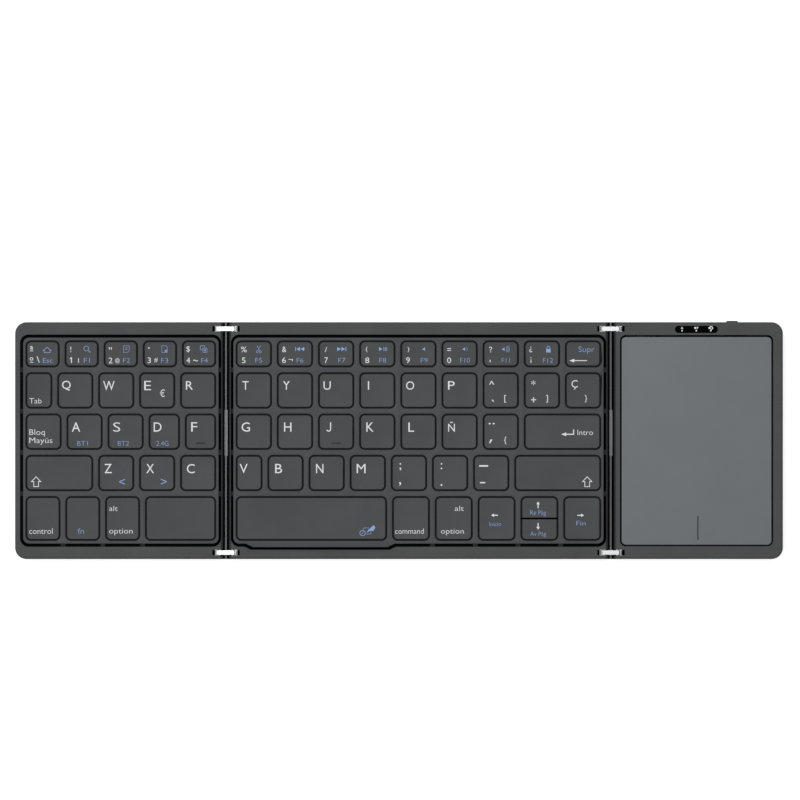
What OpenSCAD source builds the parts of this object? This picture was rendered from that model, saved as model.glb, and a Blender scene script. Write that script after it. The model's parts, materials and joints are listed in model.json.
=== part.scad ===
// Folding keyboard with two key panels and a touchpad panel.
// The outer panels fold over the centre one on double-pivot hinges.
// Frame: Z = 0 under the feet, +X towards the touchpad, +Y towards the rear edge.

/* [Panels] */
// Width of the left key panel, outer edge to hinge line
left_w = 84.4; // [78:0.2:90]
// Distance between the two hinge lines
centre_w = 154; // [148:0.5:164]
// Gap between the two outer panels when both lie folded on the centre one
wing_gap = 0.8; // [0.4:0.1:3]
// Depth of the keyboard, front edge to rear edge
body_d = 94.8; // [90:0.2:104]
// Thickness of a panel without its feet
body_t = 7; // [6.7:0.1:9]
// Radius of the four outer corners, seen from above
corner_r = 4.6; // [2.5:0.1:7]
// Rounding of the outer top edges
edge_r = 1; // [0.5:0.1:1.2]
// Rounding of the outer bottom edges
under_r = 0.5; // [0.3:0.1:0.7]
// Wall between a key window and the outer side edge
side_wall = 2; // [1.6:0.1:3]
// Width of the front and rear borders of a frame
border_w = 4.94; // [4.7:0.02:6]
// Corner radius of the key windows
window_r = 3.4; // [2.5:0.1:4]

/* [Bottom covers] */
// Thickness of the bottom covers
cover_t = 0.8; // [0.6:0.1:1.2]
// Width of the frame's rim around a bottom cover
cover_rim = 1; // [0.8:0.1:1.3]
// Clearance around a bottom cover
cover_clear = 0.1; // [0.05:0.05:0.2]
// Width of the ribs inside the covers of the key panels
rib_w = 1; // [0.6:0.1:2]
// Distance of those ribs from the middle
rib_y = 22; // [18:1:28]
// Height of the feet below the covers
foot_h = 0.6; // [0.4:0.1:1.5]
// Radius of the feet
foot_r = 3.5; // [2.5:0.1:5]
// Depth that the feet sit in the covers
foot_sink = 0.3; // [0.1:0.05:0.5]
// Distance of the feet from the outer side edge
foot_side = 9; // [7:0.5:14]
// Distance of the feet from a hinge line
foot_hinge = 13; // [10:0.5:20]
// Distance of the feet from the front and rear edges
foot_end = 9.4; // [7:0.2:14]
// Distance of the cover screws from the panels' outer edges
screw_end = 2.3; // [2.2:0.05:2.5]
// Distance of the outermost cover screws from a hinge line or a magnet
screw_next = 13; // [11:0.5:16]
// Distance from the middle to the screws in the touchpad panel's side border
side_screw_y = 20; // [10:1:30]
// Radius of the screw shanks
screw_r = 0.6; // [0.4:0.05:0.7]
// Radius of the screw heads
screw_head_r = 1.1; // [0.8:0.05:1.2]
// Thickness of the screw heads
screw_head_t = 0.4; // [0.2:0.05:0.5]
// Length of the screws under the head
screw_l = 3.6; // [2.5:0.1:4.2]

/* [Hinges] */
// Distance of each pivot axis from its hinge line
pivot_u = 2.6; // [2.4:0.05:2.8]
// Gap between the faces of the folded panels
fold_gap = 0.4; // [0.3:0.05:0.8]
// Distance of the panels' facing edges from the hinge line
edge_u = 1.15; // [1:0.05:1.3]
// Thickness of the lip between a key window and the hinge
lip_t = 0.8; // [0.6:0.05:0.9]
// Radius of the hinge pins
pin_r = 0.7; // [0.5:0.05:0.9]
// Running clearance around the pins in the panels
pin_clear = 0.04; // [0.02:0.01:0.06]
// Length of the hinge pins
pin_l = 4.8; // [4:0.1:5]
// Width of the hinge links, along the pins
link_w = 2; // [1.6:0.1:2.2]
// Radius of the links' round undersides, and their height over the pivot axes
link_r = 1.7; // [1.4:0.05:1.8]
// Distance of the links' outer faces from the front and rear edges
link_end = 1.64; // [1.4:0.02:1.8]
// Clearance at the sides of the links
link_clear = 0.1; // [0.05:0.05:0.15]
// Rounding of the links' ends, seen from above
link_corner = 0.5; // [0.3:0.05:0.8]
// Clearance beyond the ends of the links
slot_clear = 1.2; // [0.8:0.1:1.2]
// Width of the spine's top strip
strip_w = 0.8; // [0.6:0.05:1]
// Width of the strip over the cable duct
duct_strip_w = 1.2; // [1.05:0.05:1.5]
// Length of the cable duct's strip
duct_l = 18.4; // [15:0.2:24]
// Position of the cable duct from the middle, towards the rear
duct_y = 3.1; // [-8:0.1:8]
// Gap between the spine and a panel's turning edge
spine_gap = 0.15; // [0.1:0.05:0.2]
// Width of the ribbon cables
ribbon_w = 12; // [8:0.5:13]
// Thickness of the ribbon cables
ribbon_t = 0.2; // [0.1:0.05:0.3]

/* [Keys] */
// Gap between neighbouring key openings
key_gap = 2.76; // [2.4:0.02:3.2]
// Width of the groove around a key
groove = 0.7; // [0.4:0.05:0.8]
// Corner radius of a key cap
cap_r = 1.5; // [0.6:0.1:1.8]
// Depth of the function row's keys, front to rear
top_row_d = 10; // [8.5:0.25:11]
// Depth of the letter keys, front to rear
key_d = 13.75; // [12.5:0.25:14.5]
// Travel of the keys
key_travel = 1.2; // [0.8:0.1:1.5]
// Depth of the key tops below the frame's top
key_drop = 0.15; // [0.05:0.05:0.3]
// Thickness of a key's top wall
cap_top_t = 0.9; // [0.6:0.1:1]
// Thickness of a key's side walls
cap_wall = 0.9; // [0.6:0.1:1.2]
// Radius of the stem that presses the dome
stem_r = 1.5; // [1:0.1:2]
// Width of the flange that keeps a key under the key plate
flange_w = 0.3; // [0.2:0.05:0.35]
// Thickness of that flange
flange_t = 0.5; // [0.3:0.05:0.7]
// Clearance between flange and key plate
flange_clear = 0.1; // [0.05:0.05:0.15]
// Length of the finger bars on F and J
finger_bar_l = 3.6; // [2:0.2:6]

/* [Key plates] */
// Depth of the key plate below the frame's top
web_drop = 0.3; // [0.2:0.05:0.5]
// Thickness of the key plate
web_t = 1.2; // [0.9:0.1:1.4]
// Gap between the key plate and its frame
web_gap = 1.2; // [0.8:0.1:1.4]
// The same gap at a hinge
web_gap_hinge = 0.95; // [0.7:0.05:1.1]
// Key plate between its side edge and the first key opening
web_rim_side = 1.4; // [1.1:0.1:2]
// Key plate between its front and rear edges and the first key opening
web_rim_end = 1.56; // [1.2:0.02:2]
// Corner radius of the key plate
web_r = 2.4; // [1.5:0.1:2.8]
// Width of the key plate's tabs
tab_w = 1.9; // [1.2:0.1:2.4]
// Thickness of the tabs
tab_t = 0.6; // [0.4:0.1:0.9]
// Clearance between a tab and the frame
tab_clear = 0.05; // [0.03:0.01:0.2]
// How far the front edge steps out under the space bar
step_d = 1.4; // [0.8:0.1:1.4]
// Where that step starts, inside the space bar's left end
step_start = 3; // [2:0.5:8]
// Where it ends, beyond the space bar's right end
step_end = 4; // [2:0.5:5]
// Length of the slopes at the ends of the step
step_slope = 2.9; // [1.5:0.1:4]
// Gap between that step and the frame
step_gap = 1; // [0.8:0.05:1.2]
// Width of the shallow recess in the frame around the step, from the key window's edge
recess_w = 1.95; // [1.7:0.05:2.4]
// Depth of that recess
recess_t = 0.4; // [0.2:0.05:0.6]
// Thickness of the support plate under the keys
plate_t = 0.5; // [0.3:0.1:0.7]
// Thickness of the circuit membrane
membrane_t = 0.3; // [0.2:0.05:0.4]
// Width of the frame's ledge under the support plate
ledge_w = 1.2; // [0.8:0.1:1.6]
// Radius of the posts that hold the key plate
post_r = 0.5; // [0.3:0.05:0.6]
// Radius of a dome at its foot
dome_r = 2.8; // [2.2:0.1:3]

/* [Touchpad] */
// Frame between the touchpad opening and the outer side edge
pad_side = 3.95; // [3.4:0.05:5]
// Frame between the touchpad opening and the hinge line
pad_hinge = 3.6; // [3.4:0.05:4.2]
// Frame between the touchpad opening and the front and rear edges
pad_end = 5.15; // [4.9:0.05:6]
// Gap around the touchpad
pad_gap = 0.5; // [0.35:0.05:0.8]
// Corner radius of the touchpad
pad_r = 1.8; // [1:0.1:3]
// Thickness of the touchpad's top plate
pad_t = 1; // [0.7:0.1:1.2]
// Thickness of the touch sensor board
pad_board_t = 0.8; // [0.5:0.1:0.9]
// Thickness of the sheet steel bracket under it
bracket_t = 0.6; // [0.4:0.1:0.7]
// Radius of the bracket's trunnions
trunnion_r = 0.6; // [0.4:0.05:0.65]
// Distance of the trunnions from the touchpad's rear edge
trunnion_in = 1.25; // [1:0.05:2]
// Side length of the click switch
click_s = 4.5; // [3:0.25:6]
// Height of the click switch
click_h = 1.6; // [1.2:0.1:1.8]
// Distance of the click switch from the touchpad's front edge
click_in = 5.75; // [5:0.25:7]
// Distance that the click switch travels before it meets its post
click_gap = 0.5; // [0.48:0.01:0.8]
// Width of the bracket's rims around its windows
bracket_rim = 4.6; // [3:0.1:8]
// Width of the bracket's bars between its windows
bracket_bar = 10; // [6:0.5:14]

/* [Electronics] */
// Length of the battery, side to side
battery_l = 42; // [30:1:50]
// Depth of the battery, front to rear
battery_d = 24; // [18:1:26]
// Thickness of the battery
battery_t = 3; // [2:0.1:3]
// Thickness of the main board
board_t = 0.8; // [0.6:0.1:1]
// Place of the charging socket along the touchpad panel, as a share of its width
usb_share = 0.2064; // [0.2:0.0001:0.212]
// Width of the charging socket
usb_w = 8.94; // [8.94:0.01:9]
// Height of the charging socket
usb_h = 3.16; // [3.1:0.01:3.2]
// Length of the charging socket
usb_l = 7.3; // [6.5:0.1:8]
// Place of the indicator window along the touchpad panel, as a share of its width
lamp_share = 0.4964; // [0.49:0.0001:0.5]
// Length of the indicator window, as a share of the panel's width
lamp_l_share = 0.2485; // [0.22:0.0001:0.252]
// Width of the indicator window
lamp_w = 2.8; // [2.2:0.1:3]
// Place of the switch knob along the touchpad panel, as a share of its width
knob_share = 0.705; // [0.702:0.0005:0.708]
// Width of the switch knob
knob_w = 4.5; // [3.5:0.1:4.6]
// How far the knob stands out of the rear edge
knob_out = 0.5; // [0.3:0.1:1]
// Travel of the knob
knob_travel = 2; // [1:0.1:2]
// Length of the magnets
magnet_l = 6; // [4:0.5:6.5]
// Width of the magnets
magnet_w = 2.6; // [1.5:0.1:2.8]
// Distance of the magnets' centres from the outer side edges
magnet_side = 6; // [5.6:0.1:7]
// Distance of the magnets' centres from the front and rear edges
magnet_end = 2.8; // [2.6:0.05:3]
// Thickness of the frame's top above the magnets
magnet_roof = 1.3; // [1:0.1:2]

/* [Hidden] */
$fn = 48;

frame_grey = "#505153";
key_grey = "#4f5052";
inner_black = "#1b1c1e";
steel = "#b9bcc0";
bright_steel = "#e2e4e6";
board_green = "#1f5a3c";
pad_grey = "#6e7174";

// places along X
right_w = centre_w - left_w - wing_gap;
half_l = (left_w + centre_w + right_w) / 2;
left_hinge_x = left_w - half_l;
right_hinge_x = half_l - right_w;
half_d = body_d / 2;

// heights
top_z = foot_h + body_t;
cover_top = foot_h + cover_t;
roll_r = pivot_u - fold_gap / 2;
axis_z = top_z - roll_r;
web_top = top_z - web_drop;
web_bottom = web_top - web_t;
key_top = top_z - key_drop;
flange_top = web_bottom - flange_clear;
key_bottom = flange_top - flange_t;
over_travel = 0.3;
membrane_top = key_bottom - key_travel - over_travel;
plate_top = membrane_top - membrane_t;
ledge_z = plate_top - plate_t;

// hinge side of the panels, measured as u from the hinge line
under_u = pivot_u + 0.7;
lip_u = edge_u + lip_t;
rail_u = lip_u + 1.45;
rail_z = axis_z - 1;
slot_low_u = pivot_u + link_r + 0.2;
slot_top_u = pivot_u + link_r + slot_clear;
usb_u = hundredths(right_w * usb_share);
lamp_u = hundredths(right_w * lamp_share);
lamp_l = hundredths(right_w * lamp_l_share);
knob_u = hundredths(right_w * knob_share);
cover_u = slot_low_u + 0.5;
ledge_u = cover_u + 0.3;
web_u = lip_u + web_gap_hinge;
sheet_u = rail_u + 0.2;
link_y = half_d - link_end - link_w / 2;
pin_y = half_d - 0.5 - pin_l / 2;
spine_top = axis_z - roll_r - 0.4;
spine_half_w = under_u - 0.2;

// key windows and key plates
window_y = half_d - border_w;
web_y = window_y - web_gap;
field_y = web_y - web_rim_end;
bottom_row_d = 2 * field_y - top_row_d - 3 * key_d - 4 * key_gap;
row_depths = [top_row_d, key_d, key_d, key_d, bottom_row_d];
left_web_x = [side_wall + web_gap - half_l, left_hinge_x - web_u];
centre_web_x = [left_hinge_x + web_u, right_hinge_x - web_u];
left_field_x = left_web_x + [web_rim_side, -web_rim_side];
centre_field_x = centre_web_x + [web_rim_side, -web_rim_side];
plate_clear = 0.15;

// widths of the keys in each row, as shares of the row
left_rows = [
    [1, 1, 1, 1, 1],
    [0.73, 1, 1, 1, 1],
    [1, 1, 1, 0.86, 0.86],
    [1.93, 1, 1, 1],
    [1, 1, 1, 2.1]
];
centre_rows = [
    [1, 1, 1, 1, 1, 1, 1, 1, 1],
    [1, 1, 1, 1, 1, 1, 1, 1, 1],
    [1, 1, 1, 1, 1, 1, 1, 2.2],
    [0.725, 1, 1, 1, 1, 1, 1, 2.48],
    [4.16, 1, 1, 1, 1, 1]
];
home_row = 2;
shift_row = 3;
bottom_row = 4;
arrow_column = 4;

function sum(v, n) = n <= 0 ? 0 : v[n - 1] + sum(v, n - 1);
function total(v) = sum(v, len(v));

function hundredths(v) = round(v * 100) / 100;

// start and end of key i in a row of shares that fills the field, to hundredths
function key_x(shares, field, i) =
    let (unit = (field[1] - field[0] - key_gap * (len(shares) - 1)) / total(shares),
         start = field[0] + unit * sum(shares, i) + key_gap * i)
    [hundredths(start), hundredths(start + unit * shares[i])];

// front and rear of row r, counted from the rear
function row_y(r) =
    let (rear = field_y - sum(row_depths, r) - key_gap * r)
    [rear - row_depths[r], rear];

// middle of the bar between row r and the next one
function bar_y(r) = row_y(r)[0] - key_gap / 2;

function mid(span) = (span[0] + span[1]) / 2;

// n even places from a to b
function spread(a, b, n) = [for (i = [0 : n - 1]) a + (b - a) * i / (n - 1)];

// a step under the space bar that reaches d further to the front, with sloped ends
function step_shape(front_y, grow, slope, d) =
    let (space = key_x(centre_rows[bottom_row], centre_field_x, 0),
         x0 = space[0] + step_start - grow, x1 = space[1] + step_end + grow)
    [[x0, front_y + 1], [x0, front_y], [x0 + slope, front_y - d],
     [x1 - slope, front_y - d], [x1, front_y], [x1, front_y + 1]];

// ---------- shared shapes ----------

// rectangle with round corners over two spans
module round_rect(x, y, r) {
    translate([x[0] + r, y[0]]) square([x[1] - x[0] - 2 * r, y[1] - y[0]]);
    translate([x[0], y[0] + r]) square([x[1] - x[0], y[1] - y[0] - 2 * r]);
    for (cx = [x[0] + r, x[1] - r], cy = [y[0] + r, y[1] - r])
        translate([cx, cy]) circle(r);
}

module slab(x, y, z, r) {
    translate([0, 0, z[0]]) linear_extrude(z[1] - z[0]) round_rect(x, y, r);
}

module block(x, y, z) {
    translate([x[0], y[0], z[0]]) cube([x[1] - x[0], y[1] - y[0], z[1] - z[0]]);
}

// 2D shape in X and Z, drawn out along Y
module along_y(y) {
    translate([0, y[1], 0]) rotate([90, 0, 0]) linear_extrude(y[1] - y[0]) children();
}

// 2D shape in Y and Z, drawn out along X
module along_x(x) {
    translate([x[0], 0, 0]) rotate([90, 0, 90]) linear_extrude(x[1] - x[0]) children();
}

module rod_y(y, r) {
    translate([0, y[1], 0]) rotate([90, 0, 0]) cylinder(h = y[1] - y[0], r = r);
}

// places a shape made in u (from a hinge line outwards) on one side of that line
module from_hinge(x, side) {
    translate([x, 0, 0]) mirror([side < 0 ? 1 : 0, 0, 0]) children();
}

module both_ends() {
    for (s = [0, 1]) mirror([0, s, 0]) children();
}

// ---------- panels ----------

// section of a panel's hinge side: a rolled edge round the pivot axis, cut off near the hinge line
module rolled_section(w) {
    difference() {
        union() {
            translate([pivot_u, axis_z]) circle(roll_r);
            translate([pivot_u, axis_z - roll_r]) square([w - pivot_u, 2 * roll_r]);
            translate([under_u, foot_h]) square([w - under_u, body_t]);
        }
        translate([-1, 0]) square([1 + edge_u, top_z + 1]);
    }
}

// section with the round outer edges of top and bottom, over a span
module edge_section(span) {
    intersection() {
        round_rect(span, [foot_h - 2, top_z], edge_r);
        round_rect(span, [foot_h, top_z + 2], under_r);
    }
}

module wing_section(w) {
    intersection() {
        rolled_section(w);
        edge_section([-2 * edge_r, w]);
    }
}

module depth_section() {
    edge_section([-half_d, half_d]);
}

module corner_post() {
    rotate_extrude() intersection() {
        edge_section([-corner_r, corner_r]);
        square([corner_r, top_z + 1]);
    }
}

module wing_blank(w) {
    intersection() {
        along_y([-half_d, half_d]) rolled_section(w);
        along_x([0, w - corner_r]) depth_section();
    }
    intersection() {
        along_y([corner_r - half_d, half_d - corner_r]) wing_section(w);
        block([w - corner_r - 1, w], [-half_d, half_d], [0, top_z]);
    }
    both_ends() translate([w - corner_r, half_d - corner_r, 0]) corner_post();
}

module centre_blank() {
    intersection() {
        translate([left_hinge_x, 0, 0]) along_y([-half_d, half_d]) rolled_section(centre_w);
        translate([right_hinge_x, 0, 0]) mirror([1, 0, 0])
            along_y([-half_d, half_d]) rolled_section(centre_w);
        along_x([left_hinge_x, right_hinge_x]) depth_section();
    }
}

// everything that the hinge takes out of a panel, at u from the hinge line
module hinge_cuts() {
    slot_y = [link_y - link_w / 2 - link_clear, link_y + link_w / 2 + link_clear];
    both_ends() {
        block([0, slot_low_u], slot_y, [0, top_z + 1]);
        block([0, slot_top_u], slot_y, [axis_z - link_r - 0.2, top_z + 1]);
        translate([pivot_u, 0, axis_z])
            rod_y([pin_y - pin_l / 2 - 0.05, pin_y + pin_l / 2 + 0.05], pin_r + pin_clear);
    }
    block([under_u - 1, ledge_u + 1], ribbon_y() + [-0.5, 0.5], ribbon_z() + [-0.2, 0.2]);
}

function ribbon_y() = [duct_y - ribbon_w / 2, duct_y + ribbon_w / 2];
function ribbon_z() = [cover_top + 0.3, cover_top + 0.3 + ribbon_t];

// holes for cover screws at the given places, and pockets for magnets at the given X
module fastener_cuts(screws, magnets) {
    screw_places(screws) cylinder(h = foot_h + screw_head_t + screw_l + 0.2, r = screw_r + 0.02);
    both_ends() for (x = magnets)
        block(magnet_x(x, 0.05), magnet_y(0.05), [0, magnet_z()[1] + 0.05]);
}

module screw_places(screws) {
    both_ends() for (p = screws) translate([p[0], p[1], 0]) children();
}

function magnet_x(x, grow) = [x - magnet_l / 2 - grow, x + magnet_l / 2 + grow];
function magnet_y(grow) =
    [half_d - magnet_end - magnet_w / 2 - grow, half_d - magnet_end + magnet_w / 2 + grow];
function magnet_z() = [cover_top + 0.1, top_z - magnet_roof];

// magnets of the outer panels meet those of the centre panel when folded
left_magnet_x = magnet_side - half_l;
right_magnet_x = half_l - magnet_side;
centre_magnet_x = [2 * left_hinge_x - left_magnet_x, 2 * right_hinge_x - right_magnet_x];

screw_y = half_d - screw_end;
left_screws_at = [for (x = spread(left_magnet_x + screw_next, left_hinge_x - screw_next, 3)) [x, screw_y]];
centre_screws_at = [
    [left_hinge_x + screw_next, screw_y],
    [mid([left_hinge_x + screw_next, centre_magnet_x[0]]), screw_y],
    [mid([right_hinge_x - screw_next, centre_magnet_x[1]]), screw_y],
    [right_hinge_x - screw_next, screw_y]
];
// those of the touchpad panel stand beside the charging socket and in the side border
right_screws_at = [
    [right_hinge_x + mid([slot_top_u, usb_u - usb_w / 2]), screw_y],
    [right_hinge_x + mid([usb_u + usb_w / 2, lamp_u - lamp_l / 2]), screw_y],
    [half_l - screw_end - cover_clear, side_screw_y]
];

// key window in three heights: open at the top, held back for the rail and the ledge below
module key_window(x, left_hinged, right_hinged) {
    rail = rail_u - lip_u;
    ledge = ledge_u - lip_u;
    y = [-window_y, window_y];
    low_y = [ledge_w - window_y, window_y - ledge_w];
    slab(x, y, [rail_z, top_z + 1], window_r);
    slab(x + [left_hinged ? rail : 0, right_hinged ? -rail : 0], y, [ledge_z, rail_z + 1], window_r);
    slab(x + [left_hinged ? ledge : ledge_w, right_hinged ? -ledge : -ledge_w],
         low_y, [0, ledge_z + 1], window_r - ledge_w);
}

// seat of a bottom cover
module cover_outline(x, grow, round_left, round_right) {
    r = corner_r - cover_rim;
    y = [cover_rim - half_d - grow, half_d - cover_rim + grow];
    span = x + [-grow, grow];
    round_rect(span, y, r);
    if (!round_left) translate([span[0], y[0]]) square([2 * r, y[1] - y[0]]);
    if (!round_right) translate([span[1] - 2 * r, y[0]]) square([2 * r, y[1] - y[0]]);
}

module cover_seat(x, round_left, round_right) {
    linear_extrude(cover_top) cover_outline(x, cover_clear, round_left, round_right);
}

left_cover_x = [cover_rim + cover_clear - half_l, left_hinge_x - cover_u - cover_clear];
centre_cover_x = [left_hinge_x + cover_u + cover_clear, right_hinge_x - cover_u - cover_clear];
right_cover_x = [right_hinge_x + cover_u + cover_clear, half_l - cover_rim - cover_clear];

module left_frame() {
    color(frame_grey) difference() {
        from_hinge(left_hinge_x, -1) wing_blank(left_w);
        from_hinge(left_hinge_x, -1) hinge_cuts();
        key_window([side_wall - half_l, left_hinge_x - lip_u], false, true);
        cover_seat(left_cover_x, true, false);
        fastener_cuts(left_screws_at, [left_magnet_x]);
    }
}

module centre_frame() {
    color(frame_grey) difference() {
        centre_blank();
        from_hinge(left_hinge_x, 1) hinge_cuts();
        from_hinge(right_hinge_x, -1) hinge_cuts();
        key_window([left_hinge_x + lip_u, right_hinge_x - lip_u], true, true);
        translate([0, 0, ledge_z]) linear_extrude(top_z)
            polygon(step_shape(-web_y - step_gap, 0.3, step_slope, step_d));
        translate([0, 0, top_z - recess_t]) linear_extrude(1)
            polygon(step_shape(-window_y, 0.5, recess_w, recess_w));
        cover_seat(centre_cover_x, false, false);
        fastener_cuts(centre_screws_at, centre_magnet_x);
    }
}

// ---------- covers, feet, screws, magnets ----------

module foot_places(x) {
    for (px = x) both_ends() translate([px, half_d - foot_end, 0]) children();
}

left_foot_x = [foot_side - half_l, left_hinge_x - foot_hinge];
centre_foot_x = [left_hinge_x + foot_hinge, right_hinge_x - foot_hinge];
right_foot_x = [right_hinge_x + foot_hinge, half_l - foot_side];

module cover_plate(x, round_left, round_right, screws, feet) {
    difference() {
        translate([0, 0, foot_h]) linear_extrude(cover_t - 0.02)
            cover_outline(x, 0, round_left, round_right);
        screw_places(screws) {
            cylinder(h = top_z, r = screw_r + 0.1);
            cylinder(h = foot_h + screw_head_t, r = screw_head_r + 0.05);
        }
        foot_places(feet) cylinder(h = foot_h + foot_sink, r = foot_r + 0.05);
    }
}

// ribs under the support plate, clear of the screws and feet at their ends
module cover_ribs(x) {
    end = foot_side - foot_r;
    both_ends() block(x + [end, -end], [rib_y - rib_w / 2, rib_y + rib_w / 2],
                      [cover_top - 0.3, ledge_z - 0.1]);
}

module left_cover() {
    color(inner_black) {
        cover_plate(left_cover_x, true, false, left_screws_at, left_foot_x);
        cover_ribs(left_cover_x);
    }
}

module centre_cover() {
    color(inner_black) {
        cover_plate(centre_cover_x, false, false, centre_screws_at, centre_foot_x);
        cover_ribs(centre_cover_x);
    }
}

module feet(x) {
    color("#26272a") foot_places(x) cylinder(h = foot_h + foot_sink - 0.02, r = foot_r);
}

module screws(places) {
    color(steel) screw_places(places) translate([0, 0, foot_h]) {
        cylinder(h = screw_head_t, r = screw_head_r);
        cylinder(h = screw_head_t + screw_l, r = screw_r);
    }
}

module magnets(x) {
    color(steel) both_ends() for (px = x) block(magnet_x(px, 0), magnet_y(0), magnet_z());
}

module left_feet() { feet(left_foot_x); }
module centre_feet() { feet(centre_foot_x); }
module right_feet() { feet(right_foot_x); }
module left_screws() { screws(left_screws_at); }
module centre_screws() { screws(centre_screws_at); }
module right_screws() { screws(right_screws_at); }
module left_magnets() { magnets([left_magnet_x]); }
module centre_magnets() { magnets(centre_magnet_x); }
module right_magnets() { magnets([right_magnet_x]); }

// ---------- key plates, support plates, membranes, domes ----------

module key_openings(rows, field) {
    for (r = [0 : len(rows) - 1], i = [0 : len(rows[r]) - 1]) {
        grow = groove / 2;
        slab(key_x(rows[r], field, i) + [-grow, grow], row_y(r) + [-grow, grow],
             [web_bottom - 1, web_top + 1], cap_r + groove);
    }
}

module side_tabs(web_x, reach_left, reach_right) {
    for (r = [0 : 3]) {
        y = [bar_y(r) - tab_w / 2, bar_y(r) + tab_w / 2];
        z = [web_bottom, web_bottom + tab_t];
        block([web_x[0] - reach_left + tab_clear, web_x[0] + 0.5], y, z);
        block([web_x[1] - 0.5, web_x[1] + reach_right - tab_clear], y, z);
    }
}

module front_tabs(shares, field, first) {
    for (i = [first : len(shares) - 1]) {
        x = key_x(shares, field, i)[0] - key_gap / 2;
        block([x - tab_w / 2, x + tab_w / 2], [tab_clear - window_y, 0.5 - web_y],
              [web_bottom, web_bottom + tab_t]);
    }
}

// posts stand under the bars, at even places along the plate
module web_posts(web_x, n, r, z) {
    pitch = (web_x[1] - web_x[0]) / n;
    for (row = [0 : 3], i = [0 : n - 1])
        translate([web_x[0] + pitch * (i + 0.5), bar_y(row), z[0]])
            cylinder(h = z[1] - z[0], r = r, $fn = 24);
}

left_posts = 3;
centre_posts = 5;

module left_key_plate() {
    color(frame_grey) {
        difference() {
            union() {
                slab(left_web_x, [-web_y, web_y], [web_bottom, web_top], web_r);
                side_tabs(left_web_x, web_gap, web_gap_hinge);
                front_tabs(left_rows[bottom_row], left_field_x, 1);
            }
            key_openings(left_rows, left_field_x);
        }
        web_posts(left_web_x, left_posts, post_r, [ledge_z, web_bottom + 0.5]);
    }
}

module centre_key_plate() {
    color(frame_grey) {
        difference() {
            union() {
                slab(centre_web_x, [-web_y, web_y], [web_bottom, web_top], web_r);
                translate([0, 0, web_bottom]) linear_extrude(web_t)
                    polygon(step_shape(-web_y, -0.6, step_slope, step_d));
                side_tabs(centre_web_x, web_gap_hinge, web_gap_hinge);
                front_tabs(centre_rows[bottom_row], centre_field_x, 2);
            }
            key_openings(centre_rows, centre_field_x);
        }
        web_posts(centre_web_x, centre_posts, post_r, [ledge_z, web_bottom + 0.5]);
    }
}

// sheets that lie under a key plate, between the rails at the hinges
left_sheet_x = [side_wall + plate_clear - half_l, left_hinge_x - sheet_u];
centre_sheet_x = [left_hinge_x + sheet_u, right_hinge_x - sheet_u];

module sheet(x, web_x, n, z, hole_r) {
    difference() {
        slab(x, [plate_clear - window_y, window_y - plate_clear], z, window_r - plate_clear);
        web_posts(web_x, n, hole_r, z + [-1, 1]);
    }
}

module left_support_plate() {
    color(steel) sheet(left_sheet_x, left_web_x, left_posts, [ledge_z, plate_top], post_r + 0.02);
}

module centre_support_plate() {
    color(steel)
        sheet(centre_sheet_x, centre_web_x, centre_posts, [ledge_z, plate_top], post_r + 0.02);
}

module left_membrane() {
    color("#3a5a78")
        sheet(left_sheet_x + [0.3, -0.3], left_web_x, left_posts, [plate_top, membrane_top], post_r + 0.2);
}

module centre_membrane() {
    color("#3a5a78")
        sheet(centre_sheet_x + [0.3, -0.3], centre_web_x, centre_posts,
              [plate_top, membrane_top], post_r + 0.2);
}

dome_h = key_bottom - membrane_top - 0.1;

module dome(x, y) {
    translate([mid(x), mid(y), membrane_top]) cylinder(h = dome_h, r1 = dome_r, r2 = stem_r);
}

arrow_x = key_x(centre_rows[bottom_row], centre_field_x, arrow_column);
up_y = [mid(row_y(bottom_row)), row_y(bottom_row)[1]];
down_y = [row_y(bottom_row)[0], mid(row_y(bottom_row))];

module left_domes() {
    color("#d8d8d4") for (r = [0 : bottom_row], i = [0 : len(left_rows[r]) - 1])
        dome(key_x(left_rows[r], left_field_x, i), row_y(r));
}

module centre_domes() {
    color("#d8d8d4") {
        for (r = [0 : bottom_row], i = [0 : len(centre_rows[r]) - 1])
            if (r != bottom_row || i != arrow_column)
                dome(key_x(centre_rows[r], centre_field_x, i), row_y(r));
        dome(arrow_x, up_y);
        dome(arrow_x, down_y);
    }
}

// ---------- keys ----------

// cap outline with round corners, but square ones at the side that meets another cap
module cap_shape(x, y, front, rear, r) {
    round_rect(x, y, r);
    if (front == 0) translate([x[0], y[0]]) square([x[1] - x[0], 2 * r]);
    if (rear == 0) translate([x[0], y[1] - 2 * r]) square([x[1] - x[0], 2 * r]);
}

// hollow cap with a flange below the key plate and a stem over the dome;
// front and rear give the flange at those sides, which a shared opening lacks
module key(x, y, front = 1, rear = 1) {
    side = [groove / 2, -groove / 2];
    flange = groove / 2 + flange_w;
    cap_x = x + side;
    cap_y = y + side;
    flange_y = [y[0] - flange * front + (1 - front) * groove / 2,
                y[1] + flange * rear - (1 - rear) * groove / 2];
    difference() {
        union() {
            translate([0, 0, key_bottom]) linear_extrude(key_top - key_bottom)
                cap_shape(cap_x, cap_y, front, rear, cap_r);
            translate([0, 0, key_bottom]) linear_extrude(flange_t)
                cap_shape(x + [-flange, flange], flange_y, front, rear, cap_r + groove + flange_w);
        }
        slab(cap_x + [cap_wall, -cap_wall], cap_y + [cap_wall, -cap_wall],
             [key_bottom - 1, key_top - cap_top_t], 0.5);
    }
    translate([mid(x), mid(y), key_bottom]) cylinder(h = key_top - key_bottom - 0.3, r = stem_r, $fn = 32);
}

module keys_of(rows, field, r, first, last) {
    color(key_grey) for (i = [first : last]) key(key_x(rows[r], field, i), row_y(r));
}

module finger_bar(x, y) {
    translate([mid(x) - finger_bar_l / 2, y[0] + 2.1, key_top - 0.1])
        cube([finger_bar_l, 0.5, 0.1 + key_drop - 0.03]);
}

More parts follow.
